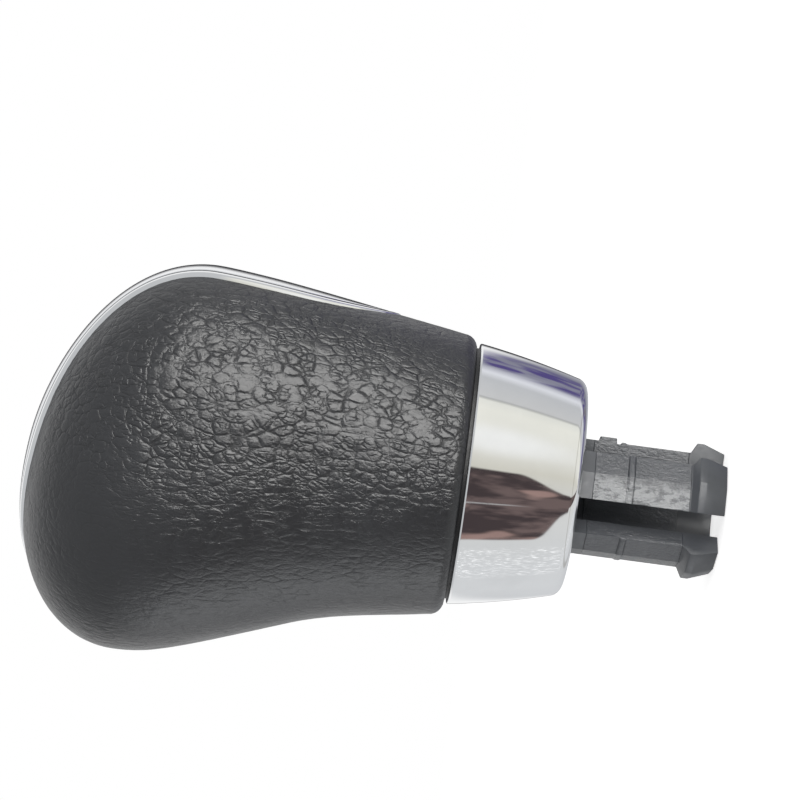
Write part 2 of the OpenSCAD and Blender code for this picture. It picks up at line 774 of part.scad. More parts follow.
module lever_socket() {
    color("#4a4f57")
    difference() {
        union() {
            cylinder(h = socket_flange_z + over, r = stem_r);
            translate([0, 0, socket_flange_z])
                cylinder(h = shelf_z - socket_flange_z, r = hub_r);
            translate([0, 0, socket_flange_z])
                cylinder(h = socket_flange_t, r = socket_flange_r);
        }
        translate([0, 0, -over])
            cylinder(h = bore_depth + over, r = lever_r);
        for (side = [-1, 1])
            translate([-hub_r - over, side * (clip_inner + clip_w / 2) - clip_w / 2 - clip_play, clip_z])
                cube([2 * hub_r + 2 * over, clip_w + 2 * clip_play, clip_t]);
    }
}

module damper_bush() {
    color("#1c1c1c")
    difference() {
        union() {
            translate([0, 0, neck_z])
                cylinder(h = floor_z - neck_z + over / 2, r = bush_r);
            translate([0, 0, floor_z])
                cylinder(h = bush_flange_t, r = bush_flange_r);
        }
        translate([0, 0, neck_z - over])
            cylinder(h = socket_flange_z - neck_z + 2 * over, r = stem_r);
    }
}

module locking_clip() {
    leg_end = -hub_r * 0.75;
    bend_x = hub_r * 0.7;
    bend_r = clip_inner + clip_w;
    color("#b9b2a4")
    translate([0, 0, clip_z])
        linear_extrude(clip_t)
            difference() {
                union() {
                    translate([bend_x, 0]) circle(r = bend_r);
                    translate([leg_end, -bend_r]) square([bend_x - leg_end, 2 * bend_r]);
                }
                translate([bend_x, 0]) circle(r = clip_inner);
                translate([leg_end - over, -clip_inner]) square([bend_x - leg_end + over, 2 * clip_inner]);
            }
}

leather_cover();
core_left();
core_right();
core_screw(0);  // core_screw_1
core_screw(1);  // core_screw_2
core_screw(2);  // core_screw_3
core_screw(3);  // core_screw_4
bezel_frame();
panel_carrier();
face_panel();
tuck_ring();
chrome_collar();
gaiter_sleeve();
sleeve_screw(0);  // sleeve_screw_1
sleeve_screw(1);  // sleeve_screw_2
sleeve_screw(2);  // sleeve_screw_3
sleeve_screw(3);  // sleeve_screw_4
lever_socket();
damper_bush();
locking_clip();
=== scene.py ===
import logging
import math
from collections.abc import Callable, Sequence
from dataclasses import dataclass, field
from enum import Enum

import bmesh
import bpy
import numpy as np
from mathutils import Matrix, Vector
from mathutils.kdtree import KDTree


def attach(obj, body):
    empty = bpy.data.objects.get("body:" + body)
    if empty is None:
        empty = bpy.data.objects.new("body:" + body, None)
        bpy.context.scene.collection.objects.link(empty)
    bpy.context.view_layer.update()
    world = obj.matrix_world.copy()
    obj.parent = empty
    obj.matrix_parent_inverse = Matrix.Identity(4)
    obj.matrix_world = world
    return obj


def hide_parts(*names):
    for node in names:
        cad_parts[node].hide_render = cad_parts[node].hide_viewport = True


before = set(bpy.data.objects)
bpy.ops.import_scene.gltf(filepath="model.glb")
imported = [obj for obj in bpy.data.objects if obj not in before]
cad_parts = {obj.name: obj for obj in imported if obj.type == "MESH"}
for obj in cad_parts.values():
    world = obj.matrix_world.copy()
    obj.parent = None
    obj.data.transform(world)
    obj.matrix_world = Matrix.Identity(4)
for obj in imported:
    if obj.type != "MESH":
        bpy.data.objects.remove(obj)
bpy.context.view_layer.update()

log = logging.getLogger("gear_shift_knob")

MM = 0.001
BODY = "root"
WELD = 1e-7

# A noise is given by its scale, detail and roughness, a band by its two ends and the width of its soft
# edges, and a spread by the two ends of a value's range and what each of them becomes.
Colour = tuple[float, float, float]
Pair = tuple[float, float]
Triple = tuple[float, float, float]
Spread = tuple[float, float, float, float]
Socket = bpy.types.NodeSocket


def ease(t: np.ndarray) -> np.ndarray:
    """Smooth step from 0 to 1, as the head's sections widen with height."""
    return t * t * (3 - 2 * t)


def lean(degrees: float) -> np.ndarray:
    """Unit direction in the side plane that leans this far from upright, towards the rear."""
    return np.array([math.sin(math.radians(degrees)), math.cos(math.radians(degrees))])


def stretch(a: np.ndarray, b: np.ndarray, way_a: np.ndarray, way_b: np.ndarray,
            arm_a: float, arm_b: float) -> np.ndarray:
    """Control points of one cubic side curve.

    Args:
        a: Where the curve starts.
        b: Where it ends.
        way_a: Unit direction at the start.
        way_b: Unit direction at the end.
        arm_a: Length of the first arm, as a share of the distance.
        arm_b: Length of the second arm, as a share of the distance.

    Returns:
        Four control points, one per row.
    """
    reach = float(np.linalg.norm(b - a))
    return np.array([a, a + way_a * arm_a * reach, b - way_b * arm_b * reach, b])


@dataclass(frozen=True)
class HeadForm:
    """The head's outer form: two side curves and the ovals between them, in millimetres."""

    collar_height: float = 15.9
    tuck_gap: float = 0.4
    hem_radius: float = 2.0
    hem_reach: float = 4.5
    neck_front: float = 19.5
    neck_rear: float = 20.8
    neck_width: float = 40.2
    neck_lean: float = 10.0
    waist_front: float = 23.4
    waist_rise: float = 21.5
    waist_lean: float = 20.0
    bulge_front: float = 30.2
    bulge_rise: float = 45.5
    back_rear: float = 25.3
    back_rise: float = 38.0
    crown_rise: float = 61.0
    crown_front: float = 3.0
    crown_fall: float = 5.0
    head_width: float = 46.6
    crown_ratio: float = 0.88
    front_square: float = 2.2
    rear_square: float = 2.6
    end_proud: float = 0.25
    neck_arms: Pair = (0.33, 0.33)
    waist_arms: Pair = (0.7, 0.2)
    bulge_arms: Pair = (0.285, 0.58)
    rear_arms: Pair = (0.2, 0.12)
    back_arms: Pair = (0.37, 0.32)
    front_fade: Pair = (0.8, 0.12)
    rear_fade: Pair = (0.12, 0.25)
    samples: int = 600

    @property
    def neck_z(self) -> float:
        """Height of the neck's lower edge."""
        return self.collar_height + self.tuck_gap

    @property
    def crown(self) -> np.ndarray:
        """The crown's point in the side plane."""
        return np.array([-self.crown_front, self.neck_z + self.crown_rise])

    def front_curves(self) -> np.ndarray:
        """The three curves up the front, from the neck to the crown.

        Returns:
            Control points of each curve.
        """
        form_z = self.neck_z + self.hem_radius
        fall = math.radians(self.crown_fall)
        neck = np.array([-self.neck_front, form_z])
        waist = np.array([-self.waist_front, self.neck_z + self.waist_rise])
        bulge = np.array([-self.bulge_front, self.neck_z + self.bulge_rise])
        crown_way = np.array([math.cos(fall), -math.sin(fall)])
        return np.array([
            stretch(neck, waist, lean(-self.neck_lean), lean(-self.waist_lean), *self.neck_arms),
            stretch(waist, bulge, lean(-self.waist_lean), lean(0), *self.waist_arms),
            stretch(bulge, self.crown, lean(0), crown_way, *self.bulge_arms),
        ])

    def rear_curves(self) -> np.ndarray:
        """The two curves up the rear, from the neck to the crown.

        Returns:
            Control points of each curve.
        """
        fall = math.radians(self.crown_fall)
        neck = np.array([self.neck_rear, self.neck_z + self.hem_radius])
        back = np.array([self.back_rear, self.neck_z + self.back_rise])
        away = -np.array([math.cos(fall), -math.sin(fall)])
        return np.array([
            stretch(neck, back, lean(self.neck_lean), lean(0), *self.rear_arms),
            stretch(back, self.crown, lean(0), away, *self.back_arms),
        ])

    @staticmethod
    def along(curves: np.ndarray, part: np.ndarray, t: np.ndarray) -> tuple[np.ndarray, np.ndarray]:
        """Points and unit directions on a chain of curves.

        Args:
            curves: Control points of each curve.
            part: Which curve each point is on.
            t: Place on that curve, from 0 to 1.

        Returns:
            The points and the directions, one per row.
        """
        c = curves[part]
        t = t[:, None]
        s = 1 - t
        point = s**3 * c[:, 0] + 3 * s * s * t * c[:, 1] + 3 * s * t * t * c[:, 2] + t**3 * c[:, 3]
        way = s * s * (c[:, 1] - c[:, 0]) + 2 * s * t * (c[:, 2] - c[:, 1]) + t * t * (c[:, 3] - c[:, 2])
        return point, way / np.linalg.norm(way, axis=1, keepdims=True)

    def front(self, v: np.ndarray) -> tuple[np.ndarray, np.ndarray]:
        """Points and directions up the front.

        Args:
            v: Height parameter, 0 at the neck and 1 at the crown.

        Returns:
            The points and the directions, one per row.
        """
        # The two lower curves take a quarter of v each, and the upper one takes the rest.
        part = np.where(v < 0.25, 0, np.where(v < 0.5, 1, 2))
        t = np.where(v < 0.25, 4 * v, np.where(v < 0.5, 4 * v - 1, 2 * v - 1))
        return self.along(self.front_curves(), part, t)

    def rear(self, v: np.ndarray) -> tuple[np.ndarray, np.ndarray]:
        """Points and directions up the rear, with v from the neck, 0, to the crown, 1."""
        part = np.where(v < 0.5, 0, 1)
        return self.along(self.rear_curves(), part, np.where(v < 0.5, 2 * v, 2 * v - 1))

    def by_height(self, v: np.ndarray, low: float, mid: float, top: float) -> np.ndarray:
        """A value that eases from low at the neck to mid at the bulge and to top at the crown."""
        return np.where(v < 0.5, low + (mid - low) * ease(np.clip(2 * v, 0, 1)),
                        mid + (top - mid) * ease(np.clip(2 * v - 1, 0, 1)))

    def oval(self, front: np.ndarray, rear: np.ndarray, half_width: np.ndarray, angle: np.ndarray,
             front_power: np.ndarray, rear_power: np.ndarray) -> np.ndarray:
        """Points on ovals that run from a front point to a rear point.

        Args:
            front: Front points in the side plane.
            rear: Rear points in the side plane.
            half_width: Half widths across the lever.
            angle: Angle of each point, 0 at the rear.
            front_power: Squareness of the front half, where 2 is an ellipse.
            rear_power: Squareness of the rear half.

        Returns:
            The points, as rows of x, y and z.
        """
        cos, sin = np.cos(angle), np.sin(angle)
        power = np.where(cos > 0, rear_power, front_power)
        s = (np.abs(cos) ** power + np.abs(sin) ** power) ** (-1 / power)
        centre = (front + rear) / 2 + (rear - front) / 2 * (s * cos)[:, None]
        return np.stack([centre[:, 0], half_width * s * sin, centre[:, 1]], axis=1)

    def fade(self, v: np.ndarray, start: float, length: float) -> np.ndarray:
        """Share of a height above the leather that is left towards one end of the trim."""
        return self.end_proud + (1 - self.end_proud) * ease(np.clip((v - start) / length, 0, 1))

    def points(self, v: np.ndarray, angle: np.ndarray, depth: np.ndarray) -> np.ndarray:
        """Points of the form at a depth below its surface.

        Args:
            v: Height parameter, 0 at the neck and 1 at the crown.
            angle: Angle round the lever, 0 at the rear.
            depth: Depth below the surface, negative above it.

        Returns:
            The points, as rows of x, y and z.
        """
        front, front_way = self.front(v)
        rear, rear_way = self.rear(v)
        reach = np.linalg.norm(rear - front, axis=1) / 2
        front_depth = np.where(depth < 0, depth * self.fade(v, *self.front_fade), depth)[:, None]
        rear_depth = np.where(depth < 0, depth * self.fade(v, *self.rear_fade), depth)[:, None]
        front = front + front_depth * np.stack([front_way[:, 1], -front_way[:, 0]], axis=1)
        rear = rear + rear_depth * np.stack([-rear_way[:, 1], rear_way[:, 0]], axis=1)
        inner = np.linalg.norm(rear - front, axis=1) / 2
        neck_ratio = self.neck_width / (self.neck_front + self.neck_rear)
        head_ratio = self.head_width / (self.bulge_front + self.back_rear)
        ratio = self.by_height(v, neck_ratio, head_ratio, self.crown_ratio)
        front_power = self.by_height(v, 2, self.front_square, (2 + self.front_square) / 2)
        rear_power = self.by_height(v, 2, self.rear_square, (2 + self.rear_square) / 2)
        return self.oval(front, rear, reach * ratio - reach + inner, angle, front_power, rear_power)

    def hem(self, turn: np.ndarray, angle: np.ndarray) -> np.ndarray:
        """Points of the leather's turn under the neck.

        Args:
            turn: 0 at the side of the neck, a quarter turn underneath.
            angle: Angle round the lever, 0 at the rear.

        Returns:
            The points, as rows of x, y and z.
        """
        inset = self.hem_radius * (1 - np.cos(turn))
        drop = self.hem_radius * np.sin(turn)
        z = self.neck_z + self.hem_radius - drop
        front = np.stack([-self.neck_front + inset, z], axis=1)
        rear = np.stack([self.neck_rear - inset, z], axis=1)
        two = np.full(len(turn), 2.0)
        return self.oval(front, rear, self.neck_width / 2 - inset, angle, two, two)

    def heights(self, count: int, top: float) -> np.ndarray:
        """Values of v that are evenly spaced along the side curves.

        Args:
            count: How many values.
            top: The last value.

        Returns:
            The values, from 0 to top.
        """
        v = np.linspace(0, top, self.samples)
        steps = [np.linalg.norm(np.diff(side(v)[0], axis=0), axis=1) for side in (self.front, self.rear)]
        length = np.concatenate([[0], np.cumsum(sum(steps))])
        return np.interp(np.linspace(0, length[-1], count), length, v)


@dataclass(frozen=True)
class TrimLayout:
    """The long oval that the bezel and the panel follow over the rear and the crown, in millimetres."""

    form: HeadForm = HeadForm()
    width: float = 24.0
    low_rise: float = 11.4
    top_front: float = 18.9
    square: float = 2.2
    bezel_face: float = 1.1
    bezel_lip: float = 0.5
    bezel_proud: float = 0.5
    panel_gap: float = 0.4
    panel_proud: float = 0.45
    panel_thickness: float = 1.45
    samples: int = 500
    rim_samples: int = 721
    far_cut: float = -4.0
    far_search: float = -5.0
    search: tuple[int, int] = (110, 145)
    search_heights: Pair = (0.04, 0.998)
    rounds: int = 14
    longest_step: float = 0.05

    @property
    def seat(self) -> float:
        """Depth of the panel's lower side below the leather's surface."""
        return self.panel_thickness - self.panel_proud

    def spine(self) -> tuple[np.ndarray, np.ndarray]:
        """The middle line over the rear and the crown.

        Returns:
            Its points in the side plane, and the running length at each.
        """
        rear = self.form.rear(np.linspace(0, 1, self.samples))[0]
        front = self.form.front(np.linspace(1, 0.5, self.samples))[0]
        line = np.concatenate([rear, front[1:]])
        length = np.concatenate([[0], np.cumsum(np.linalg.norm(np.diff(line, axis=0), axis=1))])
        return line, length

    def ends(self) -> tuple[float, float]:
        """Where the oval ends.

        Returns:
            Running lengths of its lower and upper ends.
        """
        line, length = self.spine()
        rear = np.argmax(line[:, 1])
        start = np.interp(self.form.neck_z + self.low_rise, line[:rear, 1], length[:rear])
        end = np.interp(self.top_front, -line[rear:, 0], length[rear:])
        return float(start), float(end)

    def axes(self) -> tuple[np.ndarray, np.ndarray, np.ndarray]:
        """The oval's own directions in the side plane.

        Returns:
            The chord's middle, the way up it and the way that it faces.
        """
        line, length = self.spine()
        low, high = [np.array([np.interp(s, length, line[:, k]) for k in (0, 1)]) for s in self.ends()]
        way = (high - low) / np.linalg.norm(high - low)
        return (low + high) / 2, way, np.array([way[1], -way[0]])

    def outline(self, angle: np.ndarray, inset: np.ndarray, scale: np.ndarray) -> np.ndarray:
        """Places on the oval as it is seen along its facing.

        Args:
            angle: Angle round the oval, 0 at its upper end.
            inset: Distance inside the oval.
            scale: Share of the rest of the way out from the middle.

        Returns:
            Rows of the distance up the chord and the distance across the lever.
        """
        line, length = self.spine()
        start, end = self.ends()
        middle, way, _ = self.axes()
        cos, sin = np.cos(angle), np.sin(angle)
        k = (np.abs(cos) ** self.square + np.abs(sin) ** self.square) ** (-1 / self.square) * scale
        s = (start + end) / 2 + ((end - start) / 2 - inset) * k * cos
        place = np.stack([np.interp(s, length, line[:, 0]), np.interp(s, length, line[:, 1])], axis=1)
        return np.stack([(place - middle) @ way, (self.width / 2 - inset) * k * sin], axis=1)

    def inside(self, points: np.ndarray, inset: float) -> np.ndarray:
        """Which points of the head lie inside the oval, less an inset.

        Args:
            points: Rows of x, y and z in millimetres.
            inset: Distance inside the oval.

        Returns:
            True for each point inside.
        """
        middle, way, facing = self.axes()
        turns = np.linspace(-math.pi, math.pi, self.rim_samples)
        rim = self.outline(turns, np.full(len(turns), inset), np.ones(len(turns)))
        side = points[:, [0, 2]] - middle
        up, across = side @ way, points[:, 1]
        centre = (rim[:, 0].max() + rim[:, 0].min()) / 2
        bearing = np.arctan2(across, up - centre)
        rim_bearing = np.arctan2(rim[:, 1], rim[:, 0] - centre)
        order = np.argsort(rim_bearing)
        reach = np.interp(bearing, rim_bearing[order],
                          np.hypot(rim[:, 1], rim[:, 0] - centre)[order])
        return (np.hypot(across, up - centre) < reach) & (side @ facing > self.far_cut)

    def lay(self, places: np.ndarray, depth: np.ndarray) -> np.ndarray:
        """Points of the head's form that lie under places on the oval.

        Args:
            places: Rows of distance up the chord and across the lever.
            depth: Depth of each point below the form's surface.

        Returns:
            The points, as rows of x, y and z in millimetres.
        """
        middle, way, facing = self.axes()
        heights, turns = self.search
        v, a = np.meshgrid(np.linspace(*self.search_heights, heights), np.linspace(-math.pi, math.pi, turns))
        v, a = v.ravel(), a.ravel()
        coarse = self.form.points(v, a, np.zeros(len(v)))
        side = coarse[:, [0, 2]] - middle
        near = side @ facing > self.far_search
        seen = np.stack([side @ way, coarse[:, 1]], axis=1)[near]
        tree = KDTree(len(seen))
        for i, (up, across) in enumerate(seen):
            tree.insert((up, across, 0), i)
        tree.balance()
        start = [tree.find((up, across, 0))[1] for up, across in places]
        v0, a0 = v[near][start], a[near][start]
        guess = np.stack([(1 - v0) * np.cos(a0), (1 - v0) * np.sin(a0)], axis=1)

        def point(pq: np.ndarray) -> np.ndarray:
            """The form's points for polar places about the crown."""
            far = np.clip(np.hypot(pq[:, 0], pq[:, 1]), 1e-7, 1)
            return self.form.points(1 - far, np.arctan2(pq[:, 1], pq[:, 0]), depth)

        def miss(pq: np.ndarray) -> np.ndarray:
            """How far each point lies from its place."""
            p = point(pq)
            return np.stack([(p[:, [0, 2]] - middle) @ way, p[:, 1]], axis=1) - places

        tiny = 1e-5
        for _ in range(self.rounds):
            gap = miss(guess)
            slope_p = (miss(guess + [tiny, 0]) - gap) / tiny
            slope_q = (miss(guess + [0, tiny]) - gap) / tiny
            det = slope_p[:, 0] * slope_q[:, 1] - slope_q[:, 0] * slope_p[:, 1]
            det = np.where(np.abs(det) < 1e-9, 1e-9, det)
            step = np.stack([(gap[:, 0] * slope_q[:, 1] - slope_q[:, 0] * gap[:, 1]) / det,
                             (slope_p[:, 0] * gap[:, 1] - gap[:, 0] * slope_p[:, 1]) / det], axis=1)
            size = np.linalg.norm(step, axis=1, keepdims=True)
            guess = guess - step * np.minimum(1, self.longest_step / np.maximum(size, 1e-12))
        log.info("trim points laid to within %.4f mm", float(np.abs(miss(guess)).max()))
        return point(guess)


class Board:
    """A node tree with short ways to add and join nodes."""

    def __init__(self, tree: bpy.types.NodeTree) -> None:
        """Takes the tree that nodes are added to."""
        self.tree = tree

    def add(self, kind: str, inputs: dict | None = None, **settings: object) -> bpy.types.Node:
        """Adds a node.

        Args:
            kind: The node's type.
            inputs: Values or sockets for its inputs, by name or number.
            **settings: The node's own settings.

        Returns:
            The node.
        """
        node = self.tree.nodes.new(kind)
        for name, value in settings.items():
            setattr(node, name, value)
        for key, value in (inputs or {}).items():
            if isinstance(value, Socket):
                self.tree.links.new(value, node.inputs[key])
            else:
                node.inputs[key].default_value = value
        return node

    def math(self, operation: str, a: object, b: object = 0.0) -> Socket:
        """The result of a Math node on two values or sockets."""
        return self.add("ShaderNodeMath", {0: a, 1: b}, operation=operation).outputs[0]

    def times(self, a: object, b: object) -> Socket:
        """One value times another."""
        return self.math("MULTIPLY", a, b)

    def plus(self, a: object, b: object) -> Socket:
        """The sum of two values."""
        return self.math("ADD", a, b)

    def minus(self, a: object, b: object) -> Socket:
        """One value less another."""
        return self.math("SUBTRACT", a, b)

    def vector(self, operation: str, a: object, b: object) -> Socket:
        """The result of a Vector Math node on two vectors or sockets."""
        return self.add("ShaderNodeVectorMath", {0: a, 1: b}, operation=operation).outputs[0]

    def parts(self, vector: object) -> tuple[Socket, ...]:
        """The x, y and z of a vector."""
        return tuple(self.add("ShaderNodeSeparateXYZ", {0: vector}).outputs)

    def scaled(self, a: object, factor: object) -> Socket:
        """A vector times a number."""
        return self.add("ShaderNodeVectorMath", {0: a, "Scale": factor}, operation="SCALE").outputs[0]

    def spread(self, value: object, low: float, high: float, to_low: float = 0.0,
               to_high: float = 1.0) -> Socket:
        """A value mapped from one range to another, eased and held at its ends.

        Args:
            value: The value or socket.
            low: Start of its range.
            high: End of its range.
            to_low: Result at low.
            to_high: Result at high.

        Returns:
            The result's socket.
        """
        return self.add("ShaderNodeMapRange", {0: value, 1: low, 2: high, 3: to_low, 4: to_high},
                        interpolation_type="SMOOTHSTEP").outputs[0]

    def noise(self, place: object, scale: float, detail: float, rough: float = 0.5) -> Socket:
        """The value of a Noise texture at a place."""
        return self.add("ShaderNodeTexNoise", {"Vector": place, "Scale": scale, "Detail": detail,
                                               "Roughness": rough}).outputs[0]

    def blend(self, share: object, a: object, b: object) -> Socket:
        """Two colours mixed.

        Args:
            share: Share of the second colour.
            a: First colour or socket.
            b: Second colour or socket.

        Returns:
            The colour's socket.
        """
        node = self.add("ShaderNodeMix", {0: share}, data_type="RGBA")
        for socket, value in ((node.inputs[6], a), (node.inputs[7], b)):
            if isinstance(value, Socket):
                self.tree.links.new(value, socket)
            else:
                socket.default_value = (*value, 1)
        return node.outputs[2]


@dataclass(frozen=True)
class LeatherGrain:
    """Pebble grain of the leather, in metres. The same cells raise the mesh and dress the surface."""

    pebble: float = 0.0015
    pebble_draw: float = 0.62
    small_share: float = 0.55
    wrinkle: float = 0.0013
    wrinkle_draw: float = 0.36
    fine_share: float = 0.5
    uneven: float = 0.85
    wander: float = 0.28
    wander_scales: Pair = (0.5, 1.7)
    wander_shares: Pair = (1.0, 0.4)
    large_shoulder: float = 0.17
    small_shoulder: float = 0.22
    long_shoulder: float = 0.28
    fine_shoulder: float = 0.3
    shoulder_part: float = 0.55
    crease_part: float = 0.45
    crease_share: float = 0.3
    corners: Spread = (0.42, 0.72, 1.0, 0.66)
    deep_scale: float = 330.0
    deep: Spread = (0.36, 0.60, 0.2, 1.0)
    split_scale: float = 420.0
    split: Spread = (0.40, 0.60, 0.0, 0.65)
    fine_split: float = 0.6
    front: Pair = (-0.001, -0.011)
    crease_tops: Pair = (0.0, 0.5)
    middle: Pair = (0.0055, 0.045)
    reach: Pair = (0.0165, 0.029)
    fade: Spread = (0.80, 1.18, 1.0, 0.32)
    rise: float = 0.00007
    level: float = 0.8

    def place(self, board: Board, position: Socket, across: float, draw: float) -> Socket:
        """Grain coordinates in cells, which wander so that no outline is straight.

        Args:
            board: The tree.
            position: Place on the leather.
            across: Width of a cell across the lever.
            draw: How much finer the cells are along the lever, where 1 is round.

        Returns:
            The coordinates' socket.
        """
        moved = position
        for scale, share in zip(self.wander_scales, self.wander_shares):
            size = self.wander * across * share
            drift = board.add("ShaderNodeTexNoise", {"Vector": position, "Scale": scale / across,
                                                     "Detail": 1.0}).outputs[1]
            drift = board.scaled(board.vector("SUBTRACT", drift, (0.5, 0.5, 0.5)), size * 2)
            moved = board.vector("ADD", moved, drift)
        return board.scaled(board.vector("MULTIPLY", moved, (1, 1, draw)), 1 / across)

    def cells(self, board: Board, place: Socket, feature: str = "DISTANCE_TO_EDGE") -> Socket:
        """Distance from the nearest outline between two cells, or from the nearest cell's middle."""
        return board.add("ShaderNodeTexVoronoi", {"Vector": place, "Scale": 1.0, "Randomness": self.uneven},
                         feature=feature).outputs["Distance"]

    def cushion(self, board: Board, edge: Socket, depth: object, width: float) -> Socket:
        """The height of a flat topped pebble with round shoulders, and a sharp crease beside it.

        Args:
            board: The tree.
            edge: Distance from the outline.
            depth: Depth of the crease, from 0 to 1.
            width: Width of the shoulder, in cells.

        Returns:
            The height's socket, 1 on the pebble's top.
        """
        shoulder = board.spread(edge, 0.0, width)
        crease = board.spread(edge, 0.0, width * self.crease_share)
        shoulder = board.times(shoulder, self.shoulder_part)
        shape = board.plus(shoulder, board.times(crease, self.crease_part))
        return board.minus(1.0, board.times(board.minus(1.0, shape), depth))

    def relief(self, board: Board, position: Socket) -> tuple[Socket, Socket]:
        """The leather's creases and its whole relief.

        Args:
            board: The tree.
            position: Place on the leather.

        Returns:
            The creases, 0 at the bottom and 1 beside them, and the relief, from 0 to 1.
        """
        def cells(width: float, draw: float) -> Socket:
            """Distance from the outlines of cells of a width and a draw."""
            return self.cells(board, self.place(board, position, width, draw))

        place = self.place(board, position, self.pebble, self.pebble_draw)
        large = self.cells(board, place)
        corners = board.spread(self.cells(board, place, "F1"), *self.corners)
        small = cells(self.pebble * self.small_share, self.pebble_draw)
        long = cells(self.wrinkle, self.wrinkle_draw)
        fine = cells(self.wrinkle * self.fine_share, self.wrinkle_draw)
        deep = board.spread(board.noise(position, self.deep_scale, 1.0), *self.deep)
        split = board.spread(board.noise(position, self.split_scale, 1.0), *self.split)
        pebbles = board.times(self.cushion(board, large, deep, self.large_shoulder),
                              self.cushion(board, small, split, self.small_shoulder))
        pebbles = board.times(pebbles, corners)
        wrinkles = board.times(self.cushion(board, long, deep, self.long_shoulder),
                               self.cushion(board, fine, board.times(split, self.fine_split),
                                            self.fine_shoulder))
        front = board.spread(board.parts(position)[0], *self.front)
        relief = board.plus(pebbles, board.times(front, board.minus(wrinkles, pebbles)))
        return board.spread(relief, *self.crease_tops), relief

    def strength(self, board: Board, position: Socket) -> Socket:
        """How strong the grain is: full on the two sides, and drawn nearly smooth round them.

        Args:
            board: The tree.
            position: Place on the leather.

        Returns:
            The strength's socket.
        """
        x, _, z = board.parts(position)
        across = board.math("DIVIDE", board.minus(x, self.middle[0]), self.reach[0])
        up = board.math("DIVIDE", board.minus(z, self.middle[1]), self.reach[1])
        away = board.math("SQRT", board.plus(board.times(across, across), board.times(up, up)))
        return board.spread(away, *self.fade)

    def raise_mesh(self, piece: bpy.types.Object) -> None:
        """Lifts the pebbles of a mesh for real.

        Args:
            piece: The object, whose mesh is replaced by the raised one.
        """
        tree = bpy.data.node_groups.new("leather_pebbles", "GeometryNodeTree")
        tree.interface.new_socket("Geometry", in_out="INPUT", socket_type="NodeSocketGeometry")
        tree.interface.new_socket("Geometry", in_out="OUTPUT", socket_type="NodeSocketGeometry")
        board = Board(tree)
        position = board.add("GeometryNodeInputPosition").outputs[0]
        _, relief = self.relief(board, position)
        height = board.times(board.minus(relief, self.level), self.strength(board, position))
        lift = board.scaled(board.add("GeometryNodeInputNormal").outputs[0], board.times(height, self.rise))
        entry = board.add("NodeGroupInput")
        moved = board.add("GeometryNodeSetPosition", {"Geometry": entry.outputs[0], "Offset": lift})
        way_out = board.add("NodeGroupOutput")
        tree.links.new(moved.outputs[0], way_out.inputs[0])
        modifier = piece.modifiers.new("pebbles", "NODES")
        modifier.node_group = tree
        raised = bpy.data.meshes.new_from_object(piece.evaluated_get(bpy.context.evaluated_depsgraph_get()))
        piece.modifiers.remove(modifier)
        old, piece.data = piece.data, raised
        bpy.data.meshes.remove(old)
        bpy.data.node_groups.remove(tree)


@dataclass(frozen=True)
class Finish:
    """What every finish has: a name, a colour, and how shiny it is."""

    name: str
    colour: Colour
    roughness: float = 0.5

    def begin(self) -> tuple[bpy.types.Material, Board, bpy.types.Node, Socket]:
        """Starts the material.

        Returns:
            The material, its tree, its shader and its Object coordinates.
        """
        material = bpy.data.materials.new(self.name)
        material.use_nodes = True
        material.diffuse_color = (*self.colour, 1)
        board = Board(material.node_tree)
        shader = self.shader(material)
        shader.inputs["Base Color"].default_value = (*self.colour, 1)
        shader.inputs["Roughness"].default_value = self.roughness
        return material, board, shader, board.add("ShaderNodeTexCoord").outputs["Object"]

    @staticmethod
    def shader(material: bpy.types.Material) -> bpy.types.Node:
        """The material's own shader node."""
        return next(n for n in material.node_tree.nodes if n.type == "BSDF_PRINCIPLED")

    @staticmethod
    def join(board: Board, socket: Socket, shader: bpy.types.Node, name: str) -> None:
        """Links a socket to one of the shader's inputs."""
        board.tree.links.new(socket, shader.inputs[name])

    def vary(self, board: Board, share: Socket, shader: bpy.types.Node, low: float, high: float) -> None:
        """Varies the finish's colour between two shares of itself."""
        tint = board.blend(share, tuple(c * low for c in self.colour), tuple(c * high for c in self.colour))
        self.join(board, tint, shader, "Base Color")

    def emboss(self, board: Board, height: Socket, shader: bpy.types.Node, depth: float,
               strength: float = 1.0) -> bpy.types.Node:
        """Gives the shader's surface a relief.

        Args:
            board: The tree.
            height: The relief's height.
            shader: The shader.
            depth: Depth of the relief in metres.
            strength: How strongly it tilts the surface.

        Returns:
            The bump node.
        """
        bump = board.add("ShaderNodeBump", {"Height": height, "Distance": depth, "Strength": strength})
        self.join(board, bump.outputs[0], shader, "Normal")
        return bump

    def build(self) -> bpy.types.Material:
        """The material of this finish."""
        raise NotImplementedError


